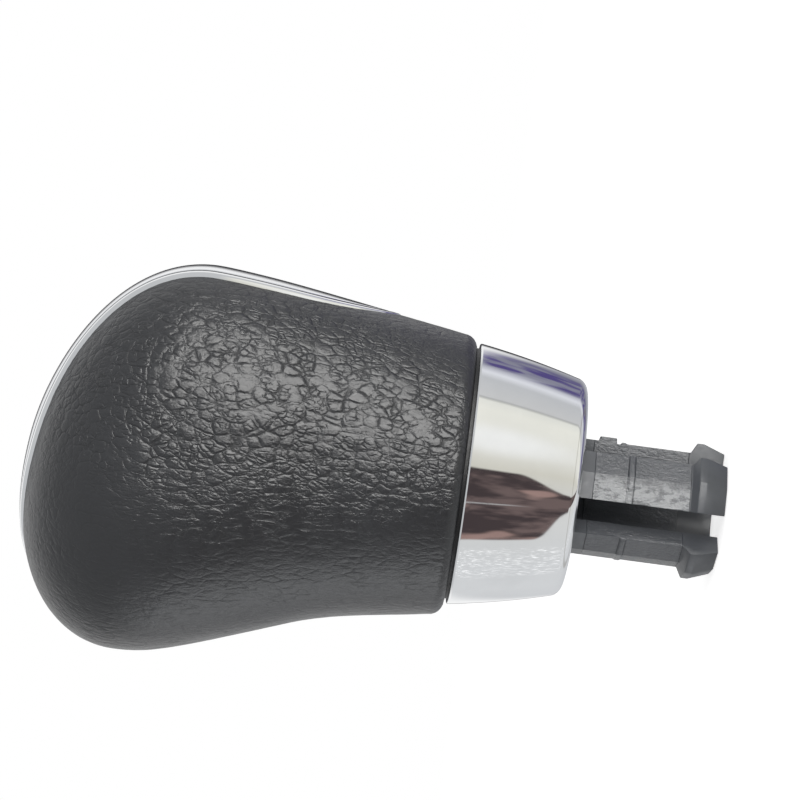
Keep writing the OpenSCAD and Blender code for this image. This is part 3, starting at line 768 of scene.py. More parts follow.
@dataclass(frozen=True)
class LeatherFinish(Finish):
    """Charcoal leather with pebble grain, fine wrinkles, a low sheen and painted shade in its creases."""

    grain: LeatherGrain = LeatherGrain()
    # Painted shade: the creases' base colour is darkened towards this shadow colour, by the crease share
    # below.
    shadow: Colour = (0.006, 0.006, 0.007)
    skin_draw: Triple = (1, 1, 0.45)
    pores: Triple = (2300.0, 3.0, 0.65)
    lumps: Triple = (1100.0, 2.0, 0.6)
    patches: Triple = (70.0, 3.0, 0.55)
    patch_range: Pair = (0.3, 0.7)
    patch_tint: Pair = (0.9, 1.1)
    crease_painted_shade: float = 0.25
    crease_rough: float = 0.2
    pore_rough: float = 0.16
    pore_height: float = 0.6
    lump_height: float = 0.4
    depth: float = 0.00014

    def build(self) -> bpy.types.Material:
        """Makes the leather.

        Returns:
            The material.
        """
        material, board, shader, place = self.begin()
        creases, relief = self.grain.relief(board, place)
        strength = self.grain.strength(board, place)
        pores = board.noise(board.vector("MULTIPLY", place, self.skin_draw), *self.pores)
        lumps = board.noise(place, *self.lumps)
        patches = board.spread(board.noise(place, *self.patches), *self.patch_range)
        self.vary(board, patches, shader, *self.patch_tint)
        tint = shader.inputs["Base Color"].links[0].from_socket
        # Painted shade: the crease bottoms are darkened towards the shadow colour, as far as the grain is
        # strong.
        shade = board.times(board.minus(1.0, creases), strength)
        tint = board.blend(board.times(shade, self.crease_painted_shade), tint, self.shadow)
        self.join(board, tint, shader, "Base Color")
        rough = board.plus(board.times(pores, self.pore_rough), self.roughness - self.pore_rough / 2)
        rough = board.plus(rough, board.times(shade, self.crease_rough))
        self.join(board, rough, shader, "Roughness")
        rest = board.plus(board.times(pores, self.pore_height), board.times(lumps, self.lump_height))
        height = board.times(board.minus(relief, 1.0), strength)
        self.emboss(board, board.plus(height, rest), shader, self.depth)
        return material


@dataclass(frozen=True)
class PlateFinish(Finish):
    """Bright plating, with the faint ripple and the fine marks of a plated moulding."""

    marks: float = 0.03
    smudges: Triple = (95.0, 4.0, 0.6)
    smudge_rough: Pair = (0.35, 0.75)
    smudge_range: Pair = (0.3, 0.7)
    smudge_tint: Pair = (1.0, 0.94)
    mark_draw: Triple = (1.0, 1.0, 0.12)
    scratches: Triple = (2600.0, 2.0, 0.5)
    scratch_range: Pair = (0.55, 0.8)
    ripples: Triple = (60.0, 2.0, 0.4)
    ripple_depth: float = 0.00025
    ripple_strength: float = 0.25

    def build(self) -> bpy.types.Material:
        """Makes the plating.

        Returns:
            The material.
        """
        material, board, shader, place = self.begin()
        shader.inputs["Metallic"].default_value = 1.0
        smudge = board.noise(place, *self.smudges)
        scratch = board.noise(board.vector("MULTIPLY", place, self.mark_draw), *self.scratches)
        rough = board.plus(board.spread(smudge, *self.smudge_rough, 0.0, self.marks),
                           board.spread(scratch, *self.scratch_range, self.roughness,
                                        self.roughness + self.marks))
        self.join(board, rough, shader, "Roughness")
        wave = board.noise(place, *self.ripples)
        self.emboss(board, wave, shader, self.ripple_depth, self.ripple_strength)
        self.vary(board, board.spread(smudge, *self.smudge_range), shader, *self.smudge_tint)
        return material


@dataclass(frozen=True)
class MouldedFinish(Finish):
    """Moulded plastic with a fine grain and slight flow marks."""

    depth: float = 0.00003
    mottle: float = 0.12
    flow_draw: Triple = (1.0, 1.0, 0.35)
    flow: Triple = (160.0, 4.0, 0.55)
    flow_range: Pair = (0.3, 0.7)
    flow_height: float = 0.8
    specks: Triple = (1500.0, 3.0, 0.6)
    speck_rough: float = 0.2
    speck_height: float = 0.6
    relief: float = 0.8

    def build(self) -> bpy.types.Material:
        """Makes the plastic.

        Returns:
            The material.
        """
        material, board, shader, place = self.begin()
        flow = board.noise(board.vector("MULTIPLY", place, self.flow_draw), *self.flow)
        speck = board.noise(place, *self.specks)
        self.vary(board, board.spread(flow, *self.flow_range), shader, 1 - self.mottle, 1 + self.mottle)
        rough = board.plus(board.times(speck, self.speck_rough), self.roughness - self.speck_rough / 2)
        self.join(board, rough, shader, "Roughness")
        height = board.plus(board.times(speck, self.speck_height), board.times(flow, self.flow_height))
        self.emboss(board, height, shader, self.depth, self.relief)
        return material


@dataclass(frozen=True)
class SleeveFinish(MouldedFinish):
    """Grey plastic, whose fingers are coarse and shiny between the barbs and the collar, with a painted
    highlight on the finger that faces the camera.
    """

    zone: Pair = (-0.0158, -0.0022)
    zone_edge: float = 0.00008
    zone_shine: float = 0.1
    drawn: Triple = (1.0, 1.0, 0.5)
    chips: Triple = (1500.0, 4.0, 0.7)
    chip_depth: float = 0.00022
    # Painted highlight: this pale colour, in the spots below, lightens the lower half of the finger that
    # faces the camera.
    painted_highlight: Colour = (0.34, 0.35, 0.36)
    highlight_spots: Triple = (1000.0, 4.0, 0.7)
    highlight_range: Pair = (0.38, 0.52)
    highlight_sides: Pair = (-0.0022, 0.0032)
    highlight_edges: Pair = (0.0004, 0.001)
    highlight_front: float = -0.0062
    highlight_most: float = 0.75

    def painted_highlight_mask(self, board: Board, side: Socket, ahead: Socket) -> Socket:
        """Where the painted highlight lies on the sleeve.

        Args:
            board: The tree.
            side: Distance to the rear of the lever's axis.
            ahead: Distance across the lever.

        Returns:
            Full on the lower half of the finger that faces the camera, and none beside it.
        """
        (low, high), (sharp, soft) = self.highlight_sides, self.highlight_edges
        across = board.times(board.spread(side, low - sharp, low + sharp),
                             board.spread(side, high - soft, high + soft, self.highlight_most, 0.0))
        return board.times(across, board.spread(ahead, self.highlight_front, self.highlight_front + sharp, 1.0, 0.0))

    def build(self) -> bpy.types.Material:
        """Makes the plastic, with the coarse stretch added to its relief.

        Returns:
            The material.
        """
        material = super().build()
        board, shader = Board(material.node_tree), self.shader(material)
        base, plain, fine = (shader.inputs[name].links[0].from_socket
                             for name in ("Base Color", "Roughness", "Normal"))
        place = board.add("ShaderNodeTexCoord").outputs["Object"]
        side, ahead, up = board.parts(place)
        (low, high), edge = self.zone, self.zone_edge
        zone = board.times(board.spread(up, low - edge, low + edge),
                           board.spread(up, high - edge, high + edge, 1.0, 0.0))
        drawn = board.vector("MULTIPLY", place, self.drawn)
        chips = board.times(board.noise(drawn, *self.chips), zone)
        bump = self.emboss(board, chips, shader, self.chip_depth)
        board.tree.links.new(fine, bump.inputs["Normal"])
        self.join(board, board.minus(plain, board.times(zone, self.zone_shine)), shader, "Roughness")
        # Painted highlight: pale spots on the camera side of the finger, where the key lamp's highlight
        # falls.
        highlight_spots = board.spread(board.noise(drawn, *self.highlight_spots), *self.highlight_range)
        highlight_spots = board.times(board.times(highlight_spots, zone), self.painted_highlight_mask(board, side, ahead))
        self.join(board, board.blend(highlight_spots, base, self.painted_highlight), shader, "Base Color")
        return material


@dataclass(frozen=True)
class SteelFinish(Finish):
    """Plated or oiled steel with fine turning marks along one direction."""

    drawn: Triple = (1.0, 1.0, 0.1)
    turning: Triple = (3200.0, 3.0, 0.6)
    turning_rough: float = 0.2
    turning_depth: float = 0.00001
    turning_relief: float = 0.6
    stains: Triple = (240.0, 3.0, 0.6)
    stain_range: Pair = (0.3, 0.75)
    stain_tint: Pair = (1.0, 0.75)

    def build(self) -> bpy.types.Material:
        """Makes the steel.

        Returns:
            The material.
        """
        material, board, shader, place = self.begin()
        shader.inputs["Metallic"].default_value = 1.0
        lines = board.noise(board.vector("MULTIPLY", place, self.drawn), *self.turning)
        stain = board.spread(board.noise(place, *self.stains), *self.stain_range)
        self.vary(board, stain, shader, *self.stain_tint)
        rough = board.plus(board.times(lines, self.turning_rough), self.roughness - self.turning_rough / 2)
        self.join(board, rough, shader, "Roughness")
        self.emboss(board, lines, shader, self.turning_depth, self.turning_relief)
        return material


class Slot(Enum):
    """The record's material slots."""

    LEATHER = "leather"
    CORE = "core_plastic"
    SCREW = "screw_steel"
    BRIGHT = "bright_trim"
    BLACK = "black_plastic"
    PANEL = "satin_panel"
    GREY = "grey_plastic"
    SOCKET = "socket_plastic"
    RUBBER = "rubber"
    SPRING = "spring_steel"


FINISHES: dict[Slot, Finish] = {
    Slot.LEATHER: LeatherFinish("charcoal_leather", (0.026, 0.027, 0.030), 0.36),
    Slot.CORE: MouldedFinish("core_moulding", (0.03, 0.03, 0.032), 0.6),
    Slot.SCREW: SteelFinish("zinc_plate", (0.62, 0.62, 0.63), 0.32),
    Slot.BRIGHT: PlateFinish("bright_plate", (0.86, 0.87, 0.88), 0.03),
    Slot.BLACK: MouldedFinish("black_moulding", (0.010, 0.010, 0.011), 0.5),
    Slot.PANEL: PlateFinish("panel_plate", (0.82, 0.83, 0.85), 0.10),
    Slot.GREY: SleeveFinish("grey_moulding", (0.072, 0.077, 0.086), 0.42, mottle=0.14),
    Slot.SOCKET: MouldedFinish("socket_moulding", (0.06, 0.065, 0.075), 0.5),
    Slot.RUBBER: MouldedFinish("black_rubber", (0.015, 0.015, 0.015), 0.8),
    Slot.SPRING: SteelFinish("spring_steel_finish", (0.45, 0.43, 0.4), 0.35, (0.1, 1.0, 1.0)),
}


class Workshop:
    """Turns shaped meshes into dressed pieces of the knob."""

    def __init__(self) -> None:
        """Builds every finish once."""
        self.materials = {slot: finish.build() for slot, finish in FINISHES.items()}

    def sheet(self, columns: int, rows: int, place: Callable[[np.ndarray, np.ndarray], np.ndarray],
              painted_shade_rows: tuple[int, int] = (0, 0)) -> bmesh.types.BMesh:
        """A grid that is wrapped onto a form, with its seam and its poles merged.

        Args:
            columns: Faces along the first direction.
            rows: Faces along the second direction.
            place: Gives points in millimetres for shares of the two directions.
            painted_shade_rows: First and last row of points round the faces in the piece's second finish.

        Returns:
            The mesh, in metres.
        """
        bm = bmesh.new()
        bmesh.ops.create_grid(bm, x_segments=columns, y_segments=rows, size=0.5)
        # The faces between these rows take the second finish; the panel uses it to paint the gap's shade
        # black.
        for face in bm.faces:
            row = (face.calc_center_median().y + 0.5) * rows
            face.material_index = int(painted_shade_rows[0] < row < painted_shade_rows[1])
        spot = np.array([v.co for v in bm.verts])
        points = place(spot[:, 0] + 0.5, spot[:, 1] + 0.5) * MM
        for vert, point in zip(bm.verts, points):
            vert.co = point
        bmesh.ops.remove_doubles(bm, verts=bm.verts, dist=WELD)
        bmesh.ops.recalc_face_normals(bm, faces=bm.faces)
        return bm

    def piece(self, name: str, bm: bmesh.types.BMesh, slot: Slot, nodes: Sequence[str],
              crease_angle: float, second: Slot | None = None) -> bpy.types.Object:
        """Makes a finished piece from a mesh.

        Args:
            name: The piece's name.
            bm: Its mesh, in metres in the part's frame.
            slot: The record's slot that it is finished in.
            nodes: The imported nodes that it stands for.
            crease_angle: Angle in degrees past which an edge is shaded sharp.
            second: The slot of the faces that the mesh marks as its second finish.

        Returns:
            The object.
        """
        mesh = bpy.data.meshes.new(name)
        bm.to_mesh(mesh)
        bm.free()
        mesh.polygons.foreach_set("use_smooth", np.ones(len(mesh.polygons), bool))
        mesh.set_sharp_from_angle(angle=math.radians(crease_angle))
        mesh.materials.append(self.materials[slot])
        if second is not None:
            mesh.materials.append(self.materials[second])
        piece = bpy.data.objects.new(name, mesh)
        bpy.context.scene.collection.objects.link(piece)
        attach(piece, BODY)
        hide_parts(*nodes)
        log.info("%s: %d faces, for %s", name, len(mesh.polygons), ", ".join(nodes))
        return piece

    def dress(self, node: str, slot: Slot) -> None:
        """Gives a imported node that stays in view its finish.

        Args:
            node: The node's name.
            slot: The record's slot of its finish.
        """
        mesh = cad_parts[node].data
        mesh.materials.clear()
        mesh.materials.append(self.materials[slot])
        log.info("%s: packed node in %s", node, slot.value)


@dataclass
class LeatherCover:
    """The head's leather: one skin from the turned hem to the bezel."""

    layout: TrimLayout
    around: int = 320
    rows: int = 150
    hem_rows: int = 6
    top: float = 0.985
    thickness: float = 1.2
    cut: float = 0.25
    inside: Triple = (0, 0, 0.045)
    crease_angle: float = 80.0
    grain: LeatherGrain = field(default_factory=LeatherGrain)

    def place(self, u: np.ndarray, w: np.ndarray) -> np.ndarray:
        """Points of the skin, from the hem's inner edge up to the crown.

        Args:
            u: Share of the way round.
            w: Share of the way up.

        Returns:
            The points in millimetres.
        """
        form = self.layout.form
        row = np.rint(w * self.rows).astype(int)
        angle = u * 2 * math.pi
        heights = form.heights(self.rows - self.hem_rows, self.top)
        points = form.points(heights[np.maximum(row - self.hem_rows - 1, 0)], angle, np.zeros(len(u)))
        turn = (self.hem_rows + 1 - row) / self.hem_rows * math.pi / 2
        hem = form.hem(np.clip(turn, 0, math.pi / 2), angle)
        lip_scale = 1 - (form.hem_reach - form.hem_radius) / (form.neck_front - form.hem_radius)
        middle = np.array([(form.neck_rear - form.neck_front) / 2, 0, 0])
        lip = middle + (form.hem(np.full(len(u), math.pi / 2), angle) - middle) * [lip_scale, lip_scale, 1]
        points = np.where((row <= self.hem_rows)[:, None], hem, points)
        return np.where((row == 0)[:, None], lip, points)

    def build(self, shop: Workshop) -> bpy.types.Object:
        """Makes the skin, cuts it out under the bezel, raises its grain and gives it its thickness.

        Args:
            shop: The workshop.

        Returns:
            The leather's object.
        """
        bm = shop.sheet(self.around, self.rows, self.place)
        centres = np.array([f.calc_center_median() for f in bm.faces]) / MM
        gone = self.layout.inside(centres, self.cut)
        top = centres[:, 2] > self.layout.form.points(np.array([self.top]), np.zeros(1), np.zeros(1))[0, 2]
        faces = [f for f, out, high in zip(bm.faces, gone, top) if out or high]
        bmesh.ops.delete(bm, geom=faces, context="FACES")
        loose = [v for v in bm.verts if not v.link_faces]
        bmesh.ops.delete(bm, geom=loose, context="VERTS")
        middle = Vector(self.inside)
        if sum((f.calc_center_median() - middle).dot(f.normal) for f in bm.faces) < 0:
            bmesh.ops.reverse_faces(bm, faces=bm.faces)
        skin = shop.piece("leather_skin", bm, Slot.LEATHER, ["leather_cover"], self.crease_angle)
        self.grain.raise_mesh(skin)
        wall = skin.modifiers.new("thickness", "SOLIDIFY")
        wall.thickness = self.thickness * MM
        wall.offset = -1
        return skin


@dataclass
class Trim:
    """The bright bezel and panel over the rear and the crown."""

    layout: TrimLayout
    around: int = 288
    crease_angle: float = 50.0
    tuck: float = 0.06
    groove: float = 0.3
    crown: float = 0.02
    outer_corner: tuple[Pair, ...] = ((0.0, 0.22), (0.03, 0.12), (0.1, 0.05), (0.22, 0.0))
    inner_corner: tuple[Pair, ...] = ((-0.2, 0.0), (-0.09, 0.04), (-0.03, 0.12), (0.0, 0.24))
    panel_base: tuple[float, ...] = (0.0, 0.3, 0.6, 0.85)
    panel_corner: tuple[Pair, ...] = ((0.0, 0.38), (0.04, 0.2), (0.14, 0.08), (0.3, 0.015), (0.5, 0.0))
    panel_rings: int = 40
    # Rows of the panel's wall in the gap that are painted black, as painted shade.
    shade_wall_rows: int = 3

    def ring_rows(self, rows: Sequence[Triple]) -> Callable[[np.ndarray, np.ndarray], np.ndarray]:
        """A way to place a sheet whose rows follow the oval.

        Args:
            rows: For each row its inset, its depth and its share of the way out from the middle.

        Returns:
            The function that gives the points.
        """
        table = np.array(rows)

        def place(u: np.ndarray, w: np.ndarray) -> np.ndarray:
            """Points of the rows in millimetres."""
            inset, depth, scale = table[np.rint(w * (len(rows) - 1)).astype(int)].T
            places = self.layout.outline(u * 2 * math.pi, inset, scale)
            return self.layout.lay(places, depth)

        return place

    def bezel(self, shop: Workshop) -> bpy.types.Object:
        """The frame round the panel, with a rounded face and a lip over the leather's edge.

        Args:
            shop: The workshop.

        Returns:
            The bezel's object.
        """
        t = self.layout
        top, face = -t.bezel_proud, t.bezel_face
        section = [(0.0, self.tuck)]
        section += [(inset, top + depth) for inset, depth in self.outer_corner]
        section += [(face / 2, top - self.crown)]
        section += [(face + inset, top + depth) for inset, depth in self.inner_corner]
        section += [(face, self.groove), (face, t.seat), (t.bezel_lip, t.seat), (t.bezel_lip, self.tuck),
                    (0.0, self.tuck)]
        rows = [(inset, depth, 1.0) for inset, depth in section]
        bm = shop.sheet(self.around, len(rows) - 1, self.ring_rows(rows))
        return shop.piece("bezel_ring", bm, Slot.BRIGHT, ["bezel_frame"], self.crease_angle)

    def panel(self, shop: Workshop) -> bpy.types.Object:
        """The plain panel, with softly rolled edges, whose wall beside the gap is painted black as painted
        shade.

        Args:
            shop: The workshop.

        Returns:
            The panel's object.
        """
        t = self.layout
        edge, top = t.bezel_face + t.panel_gap, -t.panel_proud
        rows = [(edge, t.seat, scale) for scale in (*self.panel_base, 1.0)]
        wall = len(rows) - 1
        rows += [(edge + inset, top + depth, 1.0) for inset, depth in self.panel_corner]
        rows += [(rows[-1][0], top, scale) for scale in np.linspace(1, 0, self.panel_rings + 1)[1:]]
        # Painted shade: the wall's faces take the black finish, so that the gap reads dark as if in shade.
        bm = shop.sheet(self.around, len(rows) - 1, self.ring_rows(rows), (wall, wall + self.shade_wall_rows))
        return shop.piece("face_panel_shell", bm, Slot.PANEL, ["face_panel"], self.crease_angle, Slot.BLACK)

    def build(self, shop: Workshop) -> list[bpy.types.Object]:
        """Makes the bezel and the panel, and dresses the carrier under them.

        Args:
            shop: The workshop.

        Returns:
            The two objects.
        """
        shop.dress("panel_carrier", Slot.BLACK)
        return [self.bezel(shop), self.panel(shop)]


@dataclass
class Collar:
    """The tapered bright collar, in millimetres."""

    height: float = 15.9
    top_radius: float = 18.75
    low_radius: float = 15.25
    swell: float = 0.3
    edge_radius: float = 1.8
    bevel: float = 0.4
    wall: float = 1.4
    floor: float = 1.6
    shift: float = 1.0
    hole_radius: float = 8.4
    hole_margin: float = 0.1
    foot: float = 2.5
    rim_bevel: tuple[Pair, ...] = ((0.08, 0.45), (0.4, 0.1), (1.0, 0.0))
    edge_steps: int = 12
    wall_steps: int = 14
    inner_rings: int = 8
    steps: int = 192
    crease_angle: float = 50.0

    def radius(self, z: float) -> float:
        """Outer radius at a height.

        Args:
            z: The height.

        Returns:
            The radius.
        """
        share = z / self.height
        swell = self.swell * 4 * share * (1 - share)
        return self.low_radius + (self.top_radius - self.low_radius) * share + swell

    def profile(self) -> list[tuple[float, float]]:
        """The collar's section, once round.

        Returns:
            Pairs of radius and height.
        """
        slope = math.atan((self.top_radius - self.low_radius) / self.height)
        low = self.edge_radius * (1 - math.sin(slope))
        x = self.radius(low) - self.edge_radius * math.cos(slope)
        line = [(self.hole_radius, 0.0), (x - self.foot, 0.0)]
        for i in range(self.edge_steps + 1):
            a = -math.pi / 2 + (math.pi / 2 - slope) * i / self.edge_steps
            line.append((x + self.edge_radius * math.cos(a), self.edge_radius * (1 + math.sin(a))))
        high = self.height - self.bevel
        line += [(self.radius(z), z) for z in np.linspace(low, high, self.wall_steps + 1)[1:]]
        rim = self.radius(self.height)
        line += [(rim - self.bevel * inset, self.height - self.bevel * drop)
                 for inset, drop in self.rim_bevel]
        line += [(self.radius(z) - self.wall, z)
                 for z in np.linspace(self.height, self.floor, self.inner_rings)]
        return line + [(self.hole_radius, self.floor)]

    def build(self, shop: Workshop) -> bpy.types.Object:
        """Spins the section round the collar's own axis.

        Args:
            shop: The workshop.

        Returns:
            The collar's object.
        """
        bm = bmesh.new()
        verts = [bm.verts.new(((self.shift + r) * MM, 0, z * MM)) for r, z in self.profile()]
        edges = [bm.edges.new((a, b)) for a, b in zip(verts, verts[1:] + verts[:1])]
        bmesh.ops.spin(bm, geom=verts + edges, cent=(self.shift * MM, 0, 0), axis=(0, 0, 1),
                       angle=2 * math.pi, steps=self.steps, use_merge=True, use_duplicate=False)
        bmesh.ops.remove_doubles(bm, verts=bm.verts, dist=WELD)
        reach = (self.hole_radius + self.hole_margin) * MM
        for vert in bm.verts:
            if math.hypot(vert.co.x - self.shift * MM, vert.co.y) < reach:
                vert.co.x -= self.shift * MM
        bmesh.ops.recalc_face_normals(bm, faces=bm.faces)
        return shop.piece("bright_collar", bm, Slot.BRIGHT, ["chrome_collar"], self.crease_angle)


@dataclass
class GaiterSleeve:
    """The split sleeve, with its moulded edges softened."""

    edge: float = 0.12
    weld: float = 1e-6
    flat_angle: float = 0.6
    sharp_angle: float = 25.0
    shown_below: float = -0.0002
    crease_angle: float = 30.0

    def build(self, shop: Workshop) -> bpy.types.Object:
        """Takes the sleeve's solid, cleans its faces and rounds its edges.

        Args:
            shop: The workshop.

        Returns:
            The sleeve's object.
        """
        bm = bmesh.new()
        bm.from_mesh(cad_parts["gaiter_sleeve"].data)
        bmesh.ops.remove_doubles(bm, verts=bm.verts, dist=self.weld)
        bmesh.ops.dissolve_limit(bm, angle_limit=math.radians(self.flat_angle), verts=bm.verts,
                                 edges=bm.edges)
        sharp = [e for e in bm.edges if len(e.link_faces) == 2
                 and e.calc_face_angle(0) > math.radians(self.sharp_angle)
                 and max(v.co.z for v in e.verts) < self.shown_below]
        bmesh.ops.bevel(bm, geom=sharp, offset=self.edge * MM, offset_type="OFFSET", affect="EDGES",
                        segments=2, profile=0.5, material=-1, clamp_overlap=True)
        return shop.piece("barbed_sleeve", bm, Slot.GREY, ["gaiter_sleeve"], self.crease_angle)


@dataclass(frozen=True)
class MirroredRoom:
    """What the bright pieces mirror: a room with windows below the trim, and plain light above. Round
    the room 0.25 is behind the camera, and the fall goes from 0 at eye level to 1 straight down."""

    stops: tuple[tuple[float, Colour], ...] = (
        (0.0, (0.71, 0.72, 0.73)), (0.2, (0.74, 0.74, 0.72)), (0.28, (0.72, 0.70, 0.62)),
        (0.33, (0.86, 0.85, 0.79)), (0.43, (0.93, 0.92, 0.84)), (0.456, (0.86, 0.86, 0.80)),
        (0.459, (0.16, 0.16, 0.16)), (0.462, (0.66, 0.66, 0.66)), (0.525, (0.60, 0.61, 0.63)),
        (0.548, (0.84, 0.85, 0.90)), (0.58, (0.30, 0.30, 0.38)), (0.66, (0.24, 0.24, 0.30)),
        (0.76, (0.62, 0.63, 0.65)), (0.9, (0.72, 0.73, 0.74)),
    )
    window: Triple = (0.55, -0.75, -0.37)
    window_fade: Spread = (0.06, 0.30, 0.9, 0.0)
    window_light: Colour = (1.0, 1.0, 0.98)
    violet: Colour = (0.10, 0.08, 0.24)
    violet_draw: Triple = (1.0, 1.0, 2.0)
    violet_cloud: Triple = (7.0, 3.0, 0.5)
    violet_range: Pair = (0.40, 0.62)
    violet_turn: Triple = (0.572, 0.66, 0.012)
    patch: Pair = (0.088, 0.272)
    patch_edge: float = 0.003
    patch_taper: Pair = (0.45, 0.60)
    patch_narrows: Pair = (0.10, 0.05)
    patch_cloud: Triple = (5.0, 3.0, 0.6)
    patch_range: Pair = (0.42, 0.60)
    patch_dark: Colour = (0.065, 0.05, 0.052)
    patch_light: Colour = (0.17, 0.125, 0.12)
    warm_cloud: Triple = (3.4, 2.0, 0.5)
    warm_range: Spread = (0.60, 0.68, 0.0, 0.8)
    warm: Colour = (0.42, 0.28, 0.25)
    line: Triple = (0.184, 0.186, 0.002)
    line_fade: Spread = (0.40, 0.50, 0.7, 0.0)
    line_light: Colour = (0.8, 0.8, 0.8)
    glints: Triple = (80.0, 2.0, 0.6)
    glint_range: Pair = (0.56, 0.66)
    glint_from: Pair = (0.95, 0.97)
    glint_to: Pair = (0.07, 0.05)
    glint_light: Colour = (1.3, 1.3, 1.3)
    rim: Triple = (0.66, 0.72, 0.02)
    rim_share: float = 0.4
    rim_dark: Colour = (0.16, 0.13, 0.09)
    behind_way: Pair = (0.90, 0.97)
    behind_side: Pair = (-0.3, -0.1)
    behind_dark: Colour = (0.05, 0.05, 0.055)
    plain_range: Pair = (0.35, 0.75)
    plain_dark: Colour = (0.60, 0.61, 0.62)
    plain_light: Colour = (1.0, 1.0, 1.0)
    level: Pair = (-0.17, -0.08)

    def walls(self, board: Board, turn: object) -> Socket:
        """The bands round the room.

        Args:
            board: The world's tree.
            turn: Share of the way round the room.

        Returns:
            The colour's socket.
        """
        bands = board.add("ShaderNodeValToRGB", {"Fac": turn})
        while len(bands.color_ramp.elements) < len(self.stops):
            bands.color_ramp.elements.new(0.5)
        for element, (spot, colour) in zip(bands.color_ramp.elements, self.stops):
            element.position = spot
            element.color = (*colour, 1)
        return bands.outputs[0]

    def within(self, board: Board, value: object, low: object, high: object, soft: float) -> Socket:
        """Where a value lies between two others.

        Args:
            board: The world's tree.
            value: The value.
            low: The lower of the two.
            high: The higher of the two.
            soft: Half the width of the soft ends.

        Returns:
            1 between them and 0 outside.
        """
        over = board.spread(board.minus(value, low), -soft, soft)
        under = board.spread(board.minus(high, value), -soft, soft)
        return board.times(over, under)

    def build(self, board: Board, way: Socket) -> Socket:
        """The room's colour in a direction.

        Args:
            board: The world's tree.
            way: The direction.

        Returns:
            The colour's socket.
        """
        x, y, z = board.parts(way)
        fall = board.times(z, -1.0)
        turn = board.add("ShaderNodeTexGradient", {"Vector": way}, gradient_type="RADIAL").outputs[1]
        room = self.walls(board, turn)
        window = board.vector("SUBTRACT", way, self.window)
        window = board.add("ShaderNodeVectorMath", {0: window}, operation="LENGTH").outputs[1]
        room = board.blend(board.spread(window, *self.window_fade), room, self.window_light)
        cloud = board.noise(board.vector("MULTIPLY", way, self.violet_draw), *self.violet_cloud)
        violet = board.times(board.spread(cloud, *self.violet_range),
                             self.within(board, turn, *self.violet_turn))
        room = board.blend(violet, room, self.violet)
        room = board.blend(self.patch_share(board, turn, fall), room, self.patch_colour(board, way))
        line = board.times(self.within(board, turn, *self.line), board.spread(fall, *self.line_fade))
        room = board.blend(line, room, self.line_light)
        glints = board.spread(board.noise(way, *self.glints), *self.glint_range)
        lower = board.math("MAXIMUM", board.spread(turn, *self.glint_from),
                           board.spread(turn, *self.glint_to))
        room = board.blend(board.times(glints, lower), room, self.glint_light)
        rim = board.times(self.within(board, fall, *self.rim), self.rim_share)
        room = board.blend(rim, room, self.rim_dark)
        behind = board.times(board.spread(y, *self.behind_way), board.spread(x, *self.behind_side))
        plain = board.blend(board.spread(y, *self.plain_range), self.plain_dark, self.plain_light)
        plain = board.blend(behind, plain, self.behind_dark)
        return board.blend(board.spread(z, *self.level), room, plain)

    def patch_share(self, board: Board, turn: object, fall: object) -> Socket:
        """Where the brown patch is, which narrows as it falls.

        Args:
            board: The world's tree.
            turn: Share of the way round the room.
            fall: How far the direction points down.

        Returns:
            1 on the patch and 0 outside.
        """
        taper = board.spread(fall, *self.patch_taper)
        low = board.plus(self.patch[0], board.times(taper, self.patch_narrows[0]))
        high = board.minus(self.patch[1], board.times(taper, self.patch_narrows[1]))
        return self.within(board, turn, low, high, self.patch_edge)

    def patch_colour(self, board: Board, way: Socket) -> Socket:
        """The brown patch's mottled colour.

        Args:
            board: The world's tree.
            way: The direction.

        Returns:
            The colour's socket.
        """
        cloud = board.spread(board.noise(way, *self.patch_cloud), *self.patch_range)
        brown = board.blend(cloud, self.patch_dark, self.patch_light)
        warm = board.spread(board.noise(way, *self.warm_cloud), *self.warm_range)
        return board.blend(warm, brown, self.warm)


@dataclass(frozen=True)
class Lamp:
    """A round lamp that faces the head: the way to it, its distance and diameter in metres, and its power."""

    name: str
    way: Triple
    away: float
    size: float
    power: float
    colour: Colour
    target: Triple = (0, 0, 0.04)

    def build(self) -> bpy.types.Object:
        """Makes the lamp.

        Returns:
            The lamp's object.
        """
        data = bpy.data.lights.new(self.name, "AREA")
        data.shape = "DISK"
        data.size = self.size
        data.energy = self.power
        data.color = self.colour
        lamp = bpy.data.objects.new(self.name, data)
        lamp.location = Vector(self.way).normalized() * self.away + Vector(self.target)
        lamp.rotation_mode = "QUATERNION"
        lamp.rotation_quaternion = Vector(self.way).to_track_quat("Z", "Y")
        bpy.context.scene.collection.objects.link(lamp)
        return lamp


